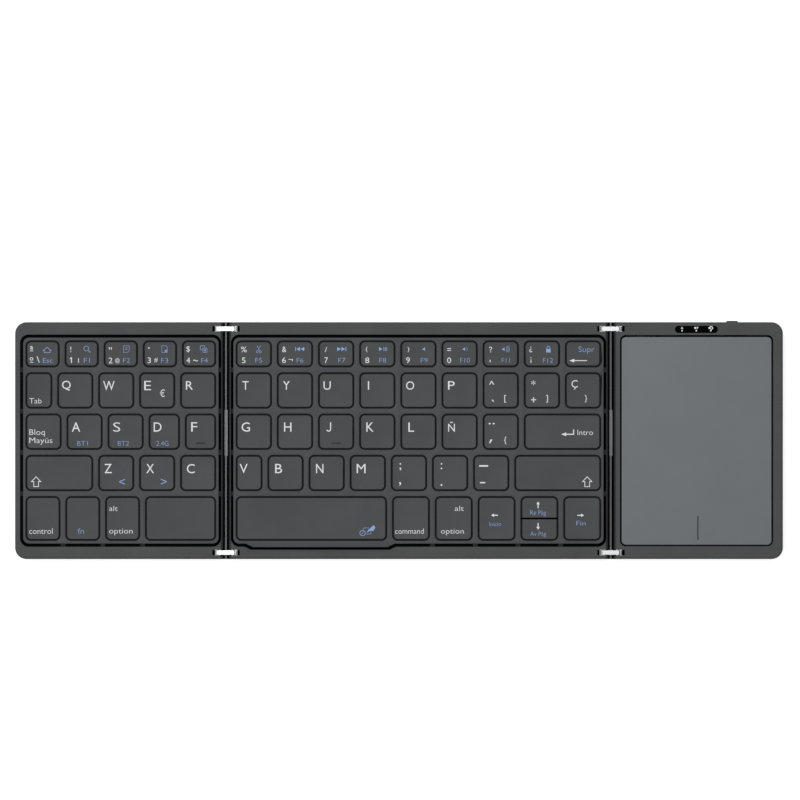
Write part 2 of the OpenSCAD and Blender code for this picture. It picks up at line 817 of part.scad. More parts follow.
module left_keys_1() { keys_of(left_rows, left_field_x, 0, 0, 4); }
module left_keys_2() { keys_of(left_rows, left_field_x, 1, 0, 4); }
module left_keys_3() {
    keys_of(left_rows, left_field_x, home_row, 0, 4);
    color(key_grey) finger_bar(key_x(left_rows[home_row], left_field_x, 4), row_y(home_row));
}
module left_keys_4() { keys_of(left_rows, left_field_x, shift_row, 1, 3); }
module left_keys_5() { keys_of(left_rows, left_field_x, bottom_row, 0, 2); }
module left_shift() { keys_of(left_rows, left_field_x, shift_row, 0, 0); }
module left_space_key() { keys_of(left_rows, left_field_x, bottom_row, 3, 3); }

module centre_keys_1() { keys_of(centre_rows, centre_field_x, 0, 0, 7); }
module centre_keys_2() { keys_of(centre_rows, centre_field_x, 1, 0, 8); }
module centre_keys_3() {
    keys_of(centre_rows, centre_field_x, home_row, 0, 6);
    color(key_grey) finger_bar(key_x(centre_rows[home_row], centre_field_x, 2), row_y(home_row));
}
module centre_keys_4() { keys_of(centre_rows, centre_field_x, shift_row, 0, 6); }
module centre_keys_5() {
    keys_of(centre_rows, centre_field_x, bottom_row, 1, arrow_column - 1);
    keys_of(centre_rows, centre_field_x, bottom_row, arrow_column + 1, arrow_column + 1);
}
module backspace_key() { keys_of(centre_rows, centre_field_x, 0, 8, 8); }
module enter_key() { keys_of(centre_rows, centre_field_x, home_row, 7, 7); }
module right_shift() { keys_of(centre_rows, centre_field_x, shift_row, 7, 7); }
module space_bar() { keys_of(centre_rows, centre_field_x, bottom_row, 0, 0); }
module up_key() { color(key_grey) key(arrow_x, up_y, 0, 1); }
module down_key() { color(key_grey) key(arrow_x, down_y, 1, 0); }

// ---------- hinges ----------

// section of the spine: a base under the panels' edges and a ridge that fits between their rolls
module spine_section(top_w) {
    clear_r = roll_r + spine_gap;
    ridge_top = axis_z - sqrt(pow(clear_r, 2) - pow(pivot_u - top_w / 2, 2));
    difference() {
        union() {
            round_rect([-spine_half_w, spine_half_w], [foot_h, spine_top], 0.3);
            translate([-1.3, foot_h + 0.5]) square([2.6, ridge_top - foot_h - 0.5]);
        }
        for (s = [-1, 1]) translate([s * pivot_u, axis_z]) circle(clear_r);
    }
}

module spine() {
    seat = link_y - link_w / 2 - 0.05;
    difference() {
        union() {
            along_y([-half_d, half_d]) spine_section(strip_w);
        }
        block([-2, 2], [duct_y - duct_l / 2, duct_y + duct_l / 2], [spine_top, top_z]);
        both_ends() block([-2, 2], [seat, seat + link_w + 0.1], [spine_top, top_z]);
        block([-9, 9], ribbon_y() + [-0.5, 0.5], ribbon_z() + [-0.2, 0.2]);
    }
    difference() {
        along_y([duct_y - duct_l / 2, duct_y + duct_l / 2]) spine_section(duct_strip_w);
        block([-9, 9], ribbon_y() + [-0.5, 0.5], ribbon_z() + [-0.2, 0.2]);
    }
}

// section of a link: flat on top, round below its two pivots, with a foot on the spine
module link_section() {
    end = pivot_u + link_r;
    difference() {
        union() {
            for (s = [-1, 1]) translate([s * pivot_u, axis_z]) circle(link_r);
            translate([-pivot_u, axis_z - link_r]) square([2 * pivot_u, 2 * link_r]);
            translate([-end, axis_z]) square([2 * end, link_r]);
            translate([-1.2, spine_top]) square([2.4, axis_z - spine_top]);
        }
        for (s = [-1, 1]) translate([s * pivot_u, axis_z]) circle(pin_r + 0.01);
    }
}

module links() {
    end = pivot_u + link_r + 0.05;
    color(bright_steel) both_ends() intersection() {
        along_y([link_y - link_w, link_y + link_w]) link_section();
        slab([-end, end], [link_y - link_w / 2, link_y + link_w / 2], [0, top_z], link_corner);
    }
}

module pins() {
    color(steel) both_ends() for (s = [-1, 1]) translate([s * pivot_u, 0, axis_z])
        rod_y([pin_y - pin_l / 2, pin_y + pin_l / 2], pin_r);
}

plug_u = 14;
right_plug_u = 9.9;

// flat cable through a spine, with a plug at each end
module ribbon(left_end, right_end, plug_top) {
    y = ribbon_y();
    z = ribbon_z();
    color("#c9702e") block([-left_end, right_end], y, z);
    color(inner_black) {
        block([-left_end, 3 - left_end], y + [1, -1], [z[0], plug_top[0]]);
        block([right_end - 1.6, right_end], y + [1, -1], [z[0], plug_top[1]]);
    }
}

module left_spine() { color(steel) translate([left_hinge_x, 0, 0]) spine(); }
module right_spine() { color(steel) translate([right_hinge_x, 0, 0]) spine(); }
module left_links() { translate([left_hinge_x, 0, 0]) links(); }
module right_links() { translate([right_hinge_x, 0, 0]) links(); }
module left_pins() { translate([left_hinge_x, 0, 0]) pins(); }
module right_pins() { translate([right_hinge_x, 0, 0]) pins(); }
module left_ribbon() {
    translate([left_hinge_x, 0, 0]) ribbon(plug_u, plug_u, [ledge_z - 0.05, ledge_z - 0.05]);
}
module right_ribbon() {
    translate([right_hinge_x, 0, 0]) ribbon(plug_u, right_plug_u, [ledge_z - 0.05, cover_top + 2]);
}

// ---------- right panel ----------

pad_x = [right_hinge_x + pad_hinge + pad_gap, half_l - pad_side - pad_gap];
pad_y = half_d - pad_end - pad_gap;
pad_top = key_top;
pad_board_z = pad_top - pad_t - pad_board_t;
bracket_z = pad_board_z - bracket_t;
trunnion_y = pad_y - trunnion_in;
trunnion_z = bracket_z + bracket_t / 2;
pad_floor_z = bracket_z - 0.65;
bracket_x = pad_x + [0.5, -0.5];
click_place = [mid(pad_x), click_in - pad_y];

// pocket in the rear border, open to the cover
board_z = cover_top + 0.2;
board_top = board_z + board_t;
pocket_y = [half_d - pad_end - 0.2, half_d - 1.2];
knob_x = right_hinge_x + knob_u;
knob_base_w = knob_w + 2;
knob_z = [board_top + 0.3, board_top + 1.7];
switch_pocket_x = [knob_x - knob_base_w / 2 - 0.3, knob_x + knob_base_w / 2 + knob_travel + 0.3];
lamp_x = right_hinge_x + lamp_u;
lamp_y = half_d - 2.9;
lamp_z = [top_z - 1, top_z - 0.05];
lamp_half = lamp_l / 2 + 0.05;
lamp_pocket_x = [lamp_x - lamp_half, lamp_x + lamp_half];
lamp_roof = top_z - 1.6;
usb_x = right_hinge_x + usb_u;
usb_z = [board_z - 0.05, board_z - 0.05 + usb_h];

// rounded bar in X and Z, such as a socket's shell
module shell_section(w, z) {
    round_rect([usb_x - w / 2, usb_x + w / 2], z, min(1.2, (z[1] - z[0]) / 2 - 0.01));
}

module pill(l, w, z) {
    slab([lamp_x - l / 2, lamp_x + l / 2], [lamp_y - w / 2, lamp_y + w / 2], z, w / 2 - 0.01);
}

module right_frame() {
    opening = pad_x + [-pad_gap, pad_gap];
    y = [-pad_y - pad_gap, pad_y + pad_gap];
    color(frame_grey) difference() {
        from_hinge(right_hinge_x, 1) wing_blank(right_w);
        from_hinge(right_hinge_x, 1) hinge_cuts();
        slab(opening, y, [pad_floor_z, top_z + 1], pad_r + pad_gap);
        slab([right_hinge_x + ledge_u, opening[1]], y, [0, pad_floor_z + 1], pad_r);
        cover_seat(right_cover_x, false, true);
        fastener_cuts(right_screws_at, [right_magnet_x]);
        translate([0, trunnion_y, trunnion_z]) rotate([0, 90, 0])
            translate([0, 0, opening[0] - 0.95])
                cylinder(h = opening[1] - opening[0] + 1.9, r = trunnion_r + 0.04);
        along_y([pad_y, half_d + 1]) shell_section(usb_w + 0.2, usb_z + [-0.1, 0.1]);
        block(lamp_pocket_x, pocket_y, [0, lamp_roof]);
        pill(lamp_l + 0.1, lamp_w + 0.1, [lamp_z[0], top_z + 1]);
        pill(lamp_l - 1, lamp_w - 1, [top_z - 2, top_z + 1]);
        block(switch_pocket_x, pocket_y, [0, knob_z[1] + 0.3]);
        along_y([half_d - 2, half_d + 1])
            round_rect([knob_x - knob_w / 2 - 0.15, knob_x + knob_w / 2 + knob_travel + 0.15],
                       knob_z + [-0.15, 0.15], 0.4);
    }
}

// main board and the posts that carry it
board_x = pad_x + [2.3, -0.1];
board_y = [12.5, pad_y + pad_gap - 0.4];
board_tail_y = duct_y - ribbon_w / 2;
post_in = 5;
posts = [for (x = board_x + [post_in, -post_in], y = board_y + [post_in, -post_in]) [x, y]];

module right_cover() {
    color(inner_black) {
        cover_plate(right_cover_x, false, true, right_screws_at, right_foot_x);
        for (p = posts) translate([p[0], p[1], cover_top - 0.3])
            cylinder(h = board_z - cover_top + 0.3, r = 1.5, $fn = 24);
        translate([click_place[0], click_place[1], cover_top - 0.3])
            cylinder(h = pad_board_z - click_h - click_gap - cover_top + 0.3, r = 1.6, $fn = 24);
    }
}

module touchpad_plate() {
    color(pad_grey) slab(pad_x, [-pad_y, pad_y], [pad_top - pad_t, pad_top], pad_r);
}

module touchpad_board() {
    color(board_green)
        slab(bracket_x, [0.5 - pad_y, pad_y - 0.5], [pad_board_z, pad_top - pad_t], pad_r - 0.5);
}

module touchpad_bracket() {
    hole = click_s / 2 + 0.5;
    color(steel) {
        difference() {
            slab(bracket_x, [0.5 - pad_y, pad_y - 0.5], [bracket_z, pad_board_z], pad_r - 0.5);
            block([click_place[0] - hole, click_place[0] + hole],
                  [click_place[1] - hole, click_place[1] + hole], [0, top_z]);
            for (x = [[bracket_x[0] + bracket_rim, mid(bracket_x) - bracket_bar / 2],
                      [mid(bracket_x) + bracket_bar / 2, bracket_x[1] - bracket_rim]])
                both_ends() slab(x, [bracket_bar / 2, -click_place[1] - hole - bracket_rim],
                                 [0, top_z], 3);
        }
        for (x = [[pad_x[0] - pad_gap - 0.8, bracket_x[0] + 1],
                  [bracket_x[1] - 1, pad_x[1] + pad_gap + 0.8]])
            translate([x[0], trunnion_y, trunnion_z]) rotate([0, 90, 0])
                cylinder(h = x[1] - x[0], r = trunnion_r, $fn = 32);
    }
}

module click_switch() {
    color(inner_black) translate([click_place[0], click_place[1], pad_board_z - click_h]) {
        translate([-click_s / 2, -click_s / 2, 0.6]) cube([click_s, click_s, click_h - 0.6]);
        cylinder(h = 1, r = 1.2, $fn = 24);
    }
}

module battery() {
    x = [mid(pad_x) - battery_l / 2, mid(pad_x) + battery_l / 2];
    y = mid([click_place[1] + click_s / 2, board_tail_y]);
    color("#a9adb2") along_x(x)
        round_rect([y - battery_d / 2, y + battery_d / 2],
                   [cover_top + 0.05, cover_top + 0.05 + battery_t], 1);
}

// chip on the main board, at a share of the board's length
module chip(share, l, w, h) {
    x = board_x[0] + share * (board_x[1] - board_x[0]);
    block([x - l / 2, x + l / 2], [mid(board_y) - w / 2, mid(board_y) + w / 2],
          [board_top, board_top + h]);
}

module main_board() {
    z = [board_z, board_top];
    usb_half = usb_w / 2 + 0.2;
    tail_x = right_hinge_x + right_plug_u + 0.3;
    color(board_green) difference() {
        union() {
            block(board_x, board_y, z);
            block([tail_x, tail_x + ribbon_w], [board_tail_y, board_y[0] + 0.5], z);
            block(lamp_pocket_x + [0.4, -0.4], [mid(board_y), pocket_y[1] - 0.4], z);
            block(switch_pocket_x + [0.4, -0.4], [mid(board_y), pocket_y[1] - 1.4], z);
        }
        block([usb_x - usb_half, usb_x + usb_half], [half_d - usb_l - 0.3, half_d], [0, top_z]);
    }
    color(inner_black) {
        chip(0.25, 4, 5, 0.7);
        chip(0.5, 7, 7, 0.8);
        chip(0.75, 4, 4, 0.6);
    }
}

module usb_socket() {
    color(bright_steel) {
        difference() {
            along_y([half_d - usb_l - 0.1, half_d - 0.1]) shell_section(usb_w, usb_z);
            along_y([half_d - usb_l + 0.6, half_d]) shell_section(usb_w - 0.6, usb_z + [0.3, -0.3]);
        }
    }
    color(inner_black) along_y([half_d - usb_l, half_d - 1.2])
        shell_section(usb_w - 2.2, [mid(usb_z) - 0.35, mid(usb_z) + 0.35]);
}

module indicator_window() {
    color("#08080a") pill(lamp_l, lamp_w, lamp_z);
}

// board on two posts, with a lamp under each third of the window
module indicator_board() {
    half = lamp_half - 1.1;
    color(board_green) {
        block([lamp_x - half, lamp_x + half], [lamp_y - 1.1, lamp_y + 1.1],
              [lamp_roof - 1.3, lamp_roof - 0.6]);
        for (s = [-1, 1]) translate([lamp_x + s * (half - 0.7), lamp_y, board_top])
            cylinder(h = lamp_roof - 1 - board_top, r = 0.5, $fn = 24);
    }
    color("white") for (i = [-1 : 1])
        block([lamp_x + i * lamp_l / 3 - 0.5, lamp_x + i * lamp_l / 3 + 0.5],
              [lamp_y - 0.3, lamp_y + 0.3], [lamp_roof - 0.7, lamp_roof - 0.1]);
}

module switch_housing() {
    color(steel) block([knob_x - 3, knob_x + 3 + knob_travel], [pocket_y[0] + 0.5, pocket_y[1] - 1.4],
                       [board_top, knob_z[1] + 0.1]);
}

module switch_knob() {
    color(inner_black) {
        block([knob_x - knob_base_w / 2, knob_x + knob_base_w / 2],
              [pocket_y[1] - 1.3, pocket_y[1] - 0.1], knob_z);
        along_y([pocket_y[1] - 0.5, half_d + knob_out])
            round_rect([knob_x - knob_w / 2, knob_x + knob_w / 2], knob_z, 0.3);
    }
}

left_frame();
left_cover();
left_key_plate();
left_support_plate();
left_membrane();
left_domes();
left_feet();
left_screws();
left_magnets();
left_keys_1();
left_keys_2();
left_keys_3();
left_keys_4();
left_keys_5();
left_shift();
left_space_key();
centre_frame();
centre_cover();
centre_key_plate();
centre_support_plate();
centre_membrane();
centre_domes();
centre_feet();
centre_screws();
centre_magnets();
centre_keys_1();
centre_keys_2();
centre_keys_3();
centre_keys_4();
centre_keys_5();
backspace_key();
enter_key();
right_shift();
space_bar();
up_key();
down_key();
right_frame();
right_cover();
right_feet();
right_screws();
right_magnets();
battery();
main_board();
usb_socket();
indicator_window();
indicator_board();
switch_housing();
switch_knob();
touchpad_plate();
touchpad_board();
touchpad_bracket();
click_switch();
left_spine();
left_links();
left_pins();
left_ribbon();
right_spine();
right_links();
right_pins();
right_ribbon();
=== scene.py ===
import bpy
import json
import math
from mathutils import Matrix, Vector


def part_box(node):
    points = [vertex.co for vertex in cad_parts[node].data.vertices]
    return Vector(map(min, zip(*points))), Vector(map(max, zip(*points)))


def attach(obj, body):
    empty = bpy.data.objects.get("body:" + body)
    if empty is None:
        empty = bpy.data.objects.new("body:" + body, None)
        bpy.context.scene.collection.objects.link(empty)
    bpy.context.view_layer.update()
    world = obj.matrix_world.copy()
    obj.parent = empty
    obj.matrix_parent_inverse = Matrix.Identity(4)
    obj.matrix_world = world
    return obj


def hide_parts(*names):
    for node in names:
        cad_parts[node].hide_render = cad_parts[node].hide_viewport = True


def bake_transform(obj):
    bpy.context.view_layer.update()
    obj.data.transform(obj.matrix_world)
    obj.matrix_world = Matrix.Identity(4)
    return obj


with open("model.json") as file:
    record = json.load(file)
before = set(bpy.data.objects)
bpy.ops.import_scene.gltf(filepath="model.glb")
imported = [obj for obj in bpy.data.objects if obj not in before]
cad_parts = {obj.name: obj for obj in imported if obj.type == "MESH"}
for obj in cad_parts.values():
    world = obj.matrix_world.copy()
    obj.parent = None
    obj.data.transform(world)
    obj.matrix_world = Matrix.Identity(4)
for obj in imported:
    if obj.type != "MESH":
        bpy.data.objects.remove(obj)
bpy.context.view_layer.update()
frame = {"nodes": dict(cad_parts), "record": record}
nodes = frame["nodes"]
mm = 0.001
bodyOf = {n: b for b, members in frame["record"]["behaviour"]["bodies"].items() for n in members}
slotOf = {p["node"]: p["material_slot"] for p in frame["record"]["subparts"]}
bpy.ops.object.select_all(action="DESELECT")
print("frame loaded")


# finishes: patterns read object coordinates, given per millimetre

pattern = {"ramp": (0.35, 0.65), "patch": 0.06, "patchDetail": 3, "grainDetail": 2, "grainRough": 0.6,
           "roughVary": 0.05}
usual = {"metal": 0, "spec": 0.5, "stretch": (1, 1, 1), "grain": 5, "relief": 0.004, "vary": 0.06, "dim": 0.05}


def join(tree, a, out, b, into):
    tree.links.new(a.outputs[out], b.inputs[into])


def patternPlace(tree, stretch=(1, 1, 1)):
    place = tree.nodes.new("ShaderNodeTexCoord")
    scaled = tree.nodes.new("ShaderNodeMapping")
    scaled.inputs["Scale"].default_value = [s / mm for s in stretch]
    join(tree, place, "Object", scaled, "Vector")
    return scaled


def noise(tree, place, perMm, detail, rough=0.5):
    n = tree.nodes.new("ShaderNodeTexNoise")
    n.inputs["Scale"].default_value = perMm
    n.inputs["Detail"].default_value = detail
    n.inputs["Roughness"].default_value = rough
    join(tree, place, "Vector", n, "Vector")
    return n


def ramp(tree, source, out, low, high):
    r = tree.nodes.new("ShaderNodeValToRGB")
    for end, position, colour in zip(r.color_ramp.elements, pattern["ramp"], (low, high)):
        end.position = position
        end.color = (*colour, 1)
    join(tree, source, out, r, "Fac")
    return r


def bump(tree, source, out, height):
    b = tree.nodes.new("ShaderNodeBump")
    b.inputs["Strength"].default_value = 1
    b.inputs["Distance"].default_value = height * mm
    join(tree, source, out, b, "Height")
    return b


def calc(tree, operation, *values):
    n = tree.nodes.new("ShaderNodeMath")
    n.operation = operation
    for i, value in enumerate(values):
        if isinstance(value, (int, float)):
            n.inputs[i].default_value = value
        else:
            tree.links.new(value, n.inputs[i])
    return n.outputs[0]


def rise(tree, value, low, high):  # 0 up to low, 1 from high on
    n = tree.nodes.new("ShaderNodeMapRange")
    n.inputs["From Min"].default_value = low
    n.inputs["From Max"].default_value = high
    tree.links.new(value, n.inputs["Value"])
    return n.outputs["Result"]


def largest(tree, *values):
    result = values[0]
    for value in values[1:]:
        result = calc(tree, "MAXIMUM", result, value)
    return result


def near(tree, value, middle, half):  # 1 where the value is nearer than half to the middle
    return calc(tree, "LESS_THAN", calc(tree, "ABSOLUTE", calc(tree, "SUBTRACT", value, middle)), half)


# painted light and shade: how much of its colour a finish keeps at a place in millimetres, 0 (painted shade) in gaps
# and pockets, 1 on open faces

hinges = {"middle": 7.8, "reach": 77.0}  # both hinge lines lie at the reach from the middle


def hingeDistance(tree, x):
    fromMiddle = calc(tree, "ABSOLUTE", calc(tree, "SUBTRACT", x, hinges["middle"]))
    return calc(tree, "ABSOLUTE", calc(tree, "SUBTRACT", fromMiddle, hinges["reach"]))


frameMask = {"width": (152.3, 152.4), "depth": (46.3, 46.4), "corner": (196.3, 196.6), "top": (7.0, 7.15), "under": 1.5,
             "wall": 1.93, "roll": (1.5, 2.4), "rollFrom": 5, "rollTone": 0.3}


# painted shade: inside the outline, faces below the top (inner walls, pockets, rails) are painted dark, and the roll
# beside each hinge is painted darker above 5 mm
def framePaintedLight(tree, x, y, z):
    fromHinge = hingeDistance(tree, x)
    wide, deep = calc(tree, "ABSOLUTE", x), calc(tree, "ABSOLUTE", y)
    corner = rise(tree, calc(tree, "ADD", wide, deep), *frameMask["corner"])
    border = largest(tree, corner, rise(tree, deep, *frameMask["depth"]), rise(tree, wide, *frameMask["width"]))
    heights = largest(tree, rise(tree, z, *frameMask["top"]), calc(tree, "LESS_THAN", z, frameMask["under"]))
    outside = largest(tree, border, heights, calc(tree, "LESS_THAN", fromHinge, frameMask["wall"]))
    roll = largest(tree, rise(tree, fromHinge, *frameMask["roll"]), calc(tree, "LESS_THAN", z, frameMask["rollFrom"]))
    rollTone = calc(tree, "MULTIPLY_ADD", roll, 1 - frameMask["rollTone"], frameMask["rollTone"])
    return calc(tree, "MULTIPLY", outside, rollTone)


plateMask = {"top": (7.0, 7.2)}


# painted shade: the plate's sides below 7.0 to 7.2 mm are painted dark, in the gaps round the keys
def platePaintedLight(tree, x, y, z):
    return rise(tree, z, *plateMask["top"])


keyMask = {"top": (7.0, 7.25), "bar": 7.48, "barTone": 0.25}


def keyPaintedLight(tree, x, y, z):  # painted shade: sides below the top are painted dark in the grooves, and the raised finger bars are painted darker, a painted shadow
    bar = calc(tree, "GREATER_THAN", z, keyMask["bar"])
    barTone = calc(tree, "MULTIPLY_ADD", bar, keyMask["barTone"] - 1, 1)
    return calc(tree, "MULTIPLY", rise(tree, z, *keyMask["top"]), barTone)


padMask = {"x": 119, "halfWidth": 34, "halfDepth": 37}


def innerPaintedLight(tree, x, y, z):  # painted shade: sheets and boards are painted dark except under the touchpad
    across = near(tree, x, padMask["x"], padMask["halfWidth"])
    return calc(tree, "MULTIPLY", across, near(tree, y, 0, padMask["halfDepth"]))


spineMask = {"shift": 0.1, "strip": 0.35, "ductY": 3.1, "duct": 9.25, "ductWidth": 0.63, "tone": 0.7, "under": 2.2}


def spinePaintedLight(tree, x, y, z):  # painted shade: the spine is painted dark except a bright strip along the hinge line, wider along the cable's duct, and its underside below 2.2 mm; away from the duct the strip is painted dimmer
    shifted = hingeDistance(tree, calc(tree, "ADD", x, spineMask["shift"]))
    strip = calc(tree, "LESS_THAN", shifted, spineMask["strip"])
    duct = near(tree, y, spineMask["ductY"], spineMask["duct"])
    wide = calc(tree, "MULTIPLY", duct, calc(tree, "LESS_THAN", hingeDistance(tree, x), spineMask["ductWidth"]))
    tone = calc(tree, "MULTIPLY_ADD", duct, 1 - spineMask["tone"], spineMask["tone"])
    top = calc(tree, "MULTIPLY", tone, largest(tree, strip, wide))
    return largest(tree, top, calc(tree, "LESS_THAN", z, spineMask["under"]))


linkMask = {"ends": (3.1, 4.45), "seam": 3.42, "seamHalf": 0.19, "seamTone": 0.2, "from": 43, "others": 30}


def metalPaintedLight(tree, x, y, z):  # painted shade: links are painted darker towards their ends and at a seam right of the hinge; other bright metal 30 mm or more from the middle is painted dark
    depth = calc(tree, "ABSOLUTE", y)
    seams = [hinges["middle"] + way * hinges["reach"] + linkMask["seam"] for way in (-1, 1)]
    seam = largest(tree, *[near(tree, x, at, linkMask["seamHalf"]) for at in seams])
    ends = calc(tree, "MULTIPLY_ADD", rise(tree, hingeDistance(tree, x), *linkMask["ends"]), -1, 1)
    ends = calc(tree, "MULTIPLY", ends, calc(tree, "MULTIPLY_ADD", seam, linkMask["seamTone"] - 1, 1))
    links = calc(tree, "MULTIPLY", ends, calc(tree, "GREATER_THAN", depth, linkMask["from"]))
    return largest(tree, links, calc(tree, "LESS_THAN", depth, linkMask["others"]))


traces = {"offset": 0.37, "Scale": 0.35, "Brick Width": 1.9, "Row Height": 0.42}


def mixed(tree, amount, a, b):  # a where the amount is 0, b where it is 1
    mix = tree.nodes.new("ShaderNodeMix")
    mix.data_type = "RGBA"
    tree.links.new(amount, mix.inputs["Factor"])
    for name, value in (("A", a), ("B", b)):
        if isinstance(value, tuple):
            mix.inputs[name].default_value = (*value, 1)
        else:
            tree.links.new(value, mix.inputs[name])
    return mix.outputs["Result"]


def traced(tree, tone, colour, width):  # conductor lines on boards and films
    brick = tree.nodes.new("ShaderNodeTexBrick")
    brick.offset = traces["offset"]
    for name in ("Scale", "Brick Width", "Row Height"):
        brick.inputs[name].default_value = traces[name]
    brick.inputs["Mortar Size"].default_value = width
    join(tree, patternPlace(tree), "Vector", brick, "Vector")
    return mixed(tree, brick.outputs["Fac"], tone, colour)


def finish(name, own):
    look = {**usual, **own}
    mat = bpy.data.materials.new(name)
    mat.use_nodes = True
    tree = mat.node_tree
    shader = tree.nodes["Principled BSDF"]
    shader.inputs["Metallic"].default_value = look["metal"]
    shader.inputs["Specular IOR Level"].default_value = look["spec"]
    place = patternPlace(tree, look["stretch"])
    shade = noise(tree, place, pattern["patch"], pattern["patchDetail"])
    low = [c * (1 - look["vary"]) for c in look["colour"]]
    high = [min(1, c * (1 + look["vary"])) for c in look["colour"]]
    tone = ramp(tree, shade, "Fac", low, high).outputs["Color"]
    if "traces" in look:
        tone = traced(tree, tone, *look["traces"])
    # painted shade: where the mask is below 1 the colour is mixed towards the dim colour and the specular is turned
    # down
    if "lit" in look:
        split = tree.nodes.new("ShaderNodeSeparateXYZ")
        join(tree, patternPlace(tree), "Vector", split, 0)
        lit = look["lit"](tree, *split.outputs)
        tone = mixed(tree, lit, tuple(c * look["dim"] for c in look["colour"]), tone)
        tree.links.new(calc(tree, "MULTIPLY", lit, look["spec"]), shader.inputs["Specular IOR Level"])
    tree.links.new(tone, shader.inputs["Base Color"])
    grain = noise(tree, place, look["grain"], pattern["grainDetail"], pattern["grainRough"])
    dull, vary = look["rough"], pattern["roughVary"]
    gloss = ramp(tree, grain, "Fac", [dull - vary] * 3, [min(1, dull + vary)] * 3)
    join(tree, gloss, "Color", shader, "Roughness")
    join(tree, bump(tree, grain, "Fac", look["relief"]), "Normal", shader, "Normal")
    return mat


looks = {
    "frame_aluminium": {"colour": (0.075, 0.076, 0.078), "rough": 0.55, "metal": 0.25, "spec": 0.3, "grain": 7,
                        "relief": 0.006, "lit": framePaintedLight, "dim": 0.02},
    "cover_plastic": {"colour": (0.055, 0.056, 0.058), "rough": 0.62, "spec": 0.35, "grain": 3.5, "relief": 0.012},
    "plate_plastic": {"colour": (0.076, 0.078, 0.081), "rough": 0.6, "spec": 0.25, "relief": 0.005,
                      "lit": platePaintedLight, "dim": 0.5},
    "key_plastic": {"colour": (0.076, 0.078, 0.08), "rough": 0.58, "spec": 0.25, "grain": 4.5, "relief": 0.006,
                    "lit": keyPaintedLight, "dim": 0.5},
    "sheet_steel": {"colour": (0.5, 0.51, 0.52), "rough": 0.35, "metal": 1, "grain": 2, "stretch": (0.08, 3, 3),
                    "relief": 0.003, "lit": innerPaintedLight, "dim": 0.02},
    # painted shade: the membrane film and its traces are near black, so the gaps down to it read as deep shade
    "membrane_film": {"colour": (0.0018, 0.0018, 0.002), "rough": 0.45, "spec": 0.03, "grain": 1.2, "relief": 0.002,
                      "traces": ((0.004, 0.004, 0.0045), 0.05)},
    "dome_rubber": {"colour": (0.58, 0.58, 0.56), "rough": 0.5, "grain": 2},
    "foot_rubber": {"colour": (0.022, 0.022, 0.023), "rough": 0.8, "spec": 0.2, "relief": 0.015},
    "bright_metal": {"colour": (0.89, 0.9, 0.91), "rough": 0.22, "metal": 1, "grain": 4, "relief": 0.0004,
                     "lit": metalPaintedLight, "dim": 0.01},
    "spine_metal": {"colour": (0.2, 0.202, 0.208), "rough": 0.4, "metal": 1, "grain": 3, "stretch": (3, 0.1, 3),
                    "relief": 0.003, "lit": spinePaintedLight},
    "touchpad_glass": {"colour": (0.174, 0.188, 0.199), "rough": 0.5, "spec": 0.3, "grain": 9, "relief": 0.0015,
                       "vary": 0.02},
    "circuit_board": {"colour": (0.02, 0.11, 0.05), "rough": 0.35, "grain": 1.5, "relief": 0.01, "lit": innerPaintedLight,
                      "traces": ((0.05, 0.2, 0.09), 0.03)},
    "battery_pouch": {"colour": (0.5, 0.51, 0.53), "rough": 0.3, "metal": 0.8, "grain": 0.8, "relief": 0.03},
    "switch_plastic": {"colour": (0.014, 0.014, 0.015), "rough": 0.5, "spec": 0.15, "grain": 4},
    "window_black": {"colour": (0.001, 0.001, 0.001), "rough": 0.3, "spec": 0.01, "grain": 0.5, "relief": 0.0003},
    "contact_gold": {"colour": (0.75, 0.5, 0.18), "rough": 0.25, "metal": 1, "grain": 4, "relief": 0.001},
    "mark_grey": {"colour": (0.05, 0.052, 0.055), "rough": 0.55, "spec": 0.25, "grain": 6, "relief": 0.001},
}
legendInks = {"white": (0.88, 0.89, 0.9), "blue": (0.27, 0.39, 0.68), "pale": (0.31, 0.48, 0.83)}
for name, colour in legendInks.items():
    looks["legend_" + name] = {"colour": colour, "rough": 0.6, "spec": 0.2, "grain": 6, "relief": 0.001, "vary": 0.02}
finishes = {name: finish(name, look) for name, look in looks.items()}

for name, node in nodes.items():
    node.data.materials.clear()
    node.data.materials.append(finishes[slotOf[name]])
print("finishes made")


# modelling helpers

small = {"place": 1e-6, "length": 1e-4, "height": 1e-5, "weld": 2e-7, "up": 0.99, "flat": 0.1, "degrees": 0.5}


def only(*pieces):
    bpy.ops.object.select_all(action="DESELECT")
    for p in pieces:
        p.select_set(True)
    bpy.context.view_layer.objects.active = pieces[0]


def settle(piece, name, finishName):  # place goes into the mesh
    only(piece)
    bpy.ops.object.transform_apply(location=True, rotation=True, scale=True)
    piece.name = name
    piece.data.name = name
    piece.data.materials.clear()
    piece.data.materials.append(finishes[finishName])
    return piece


def joined(pieces, name, finishName):
    only(*pieces)
    if len(pieces) > 1:
        bpy.ops.object.join()
    return settle(bpy.context.object, name, finishName)


def selectFaces(piece, rule):
    bpy.ops.object.mode_set(mode="EDIT")
    bpy.ops.mesh.select_mode(type="FACE")
    bpy.ops.mesh.select_all(action="DESELECT")
    bpy.ops.object.mode_set(mode="OBJECT")
    for f in piece.data.polygons:
        f.select = rule(f.center, f.normal)
    bpy.ops.object.mode_set(mode="EDIT")


def selectEdges(piece, rule):
    bpy.ops.object.mode_set(mode="EDIT")
    bpy.ops.mesh.select_mode(type="EDGE")
    bpy.ops.mesh.select_all(action="DESELECT")
    bpy.ops.object.mode_set(mode="OBJECT")
    around = {}
    for f in piece.data.polygons:
        for key in f.edge_keys:
            around.setdefault(key, []).append(f)
    for e in piece.data.edges:
        ends = [piece.data.vertices[v].co for v in e.vertices]
        e.select = rule(ends, around.get(e.key, []))
    bpy.ops.object.mode_set(mode="EDIT")


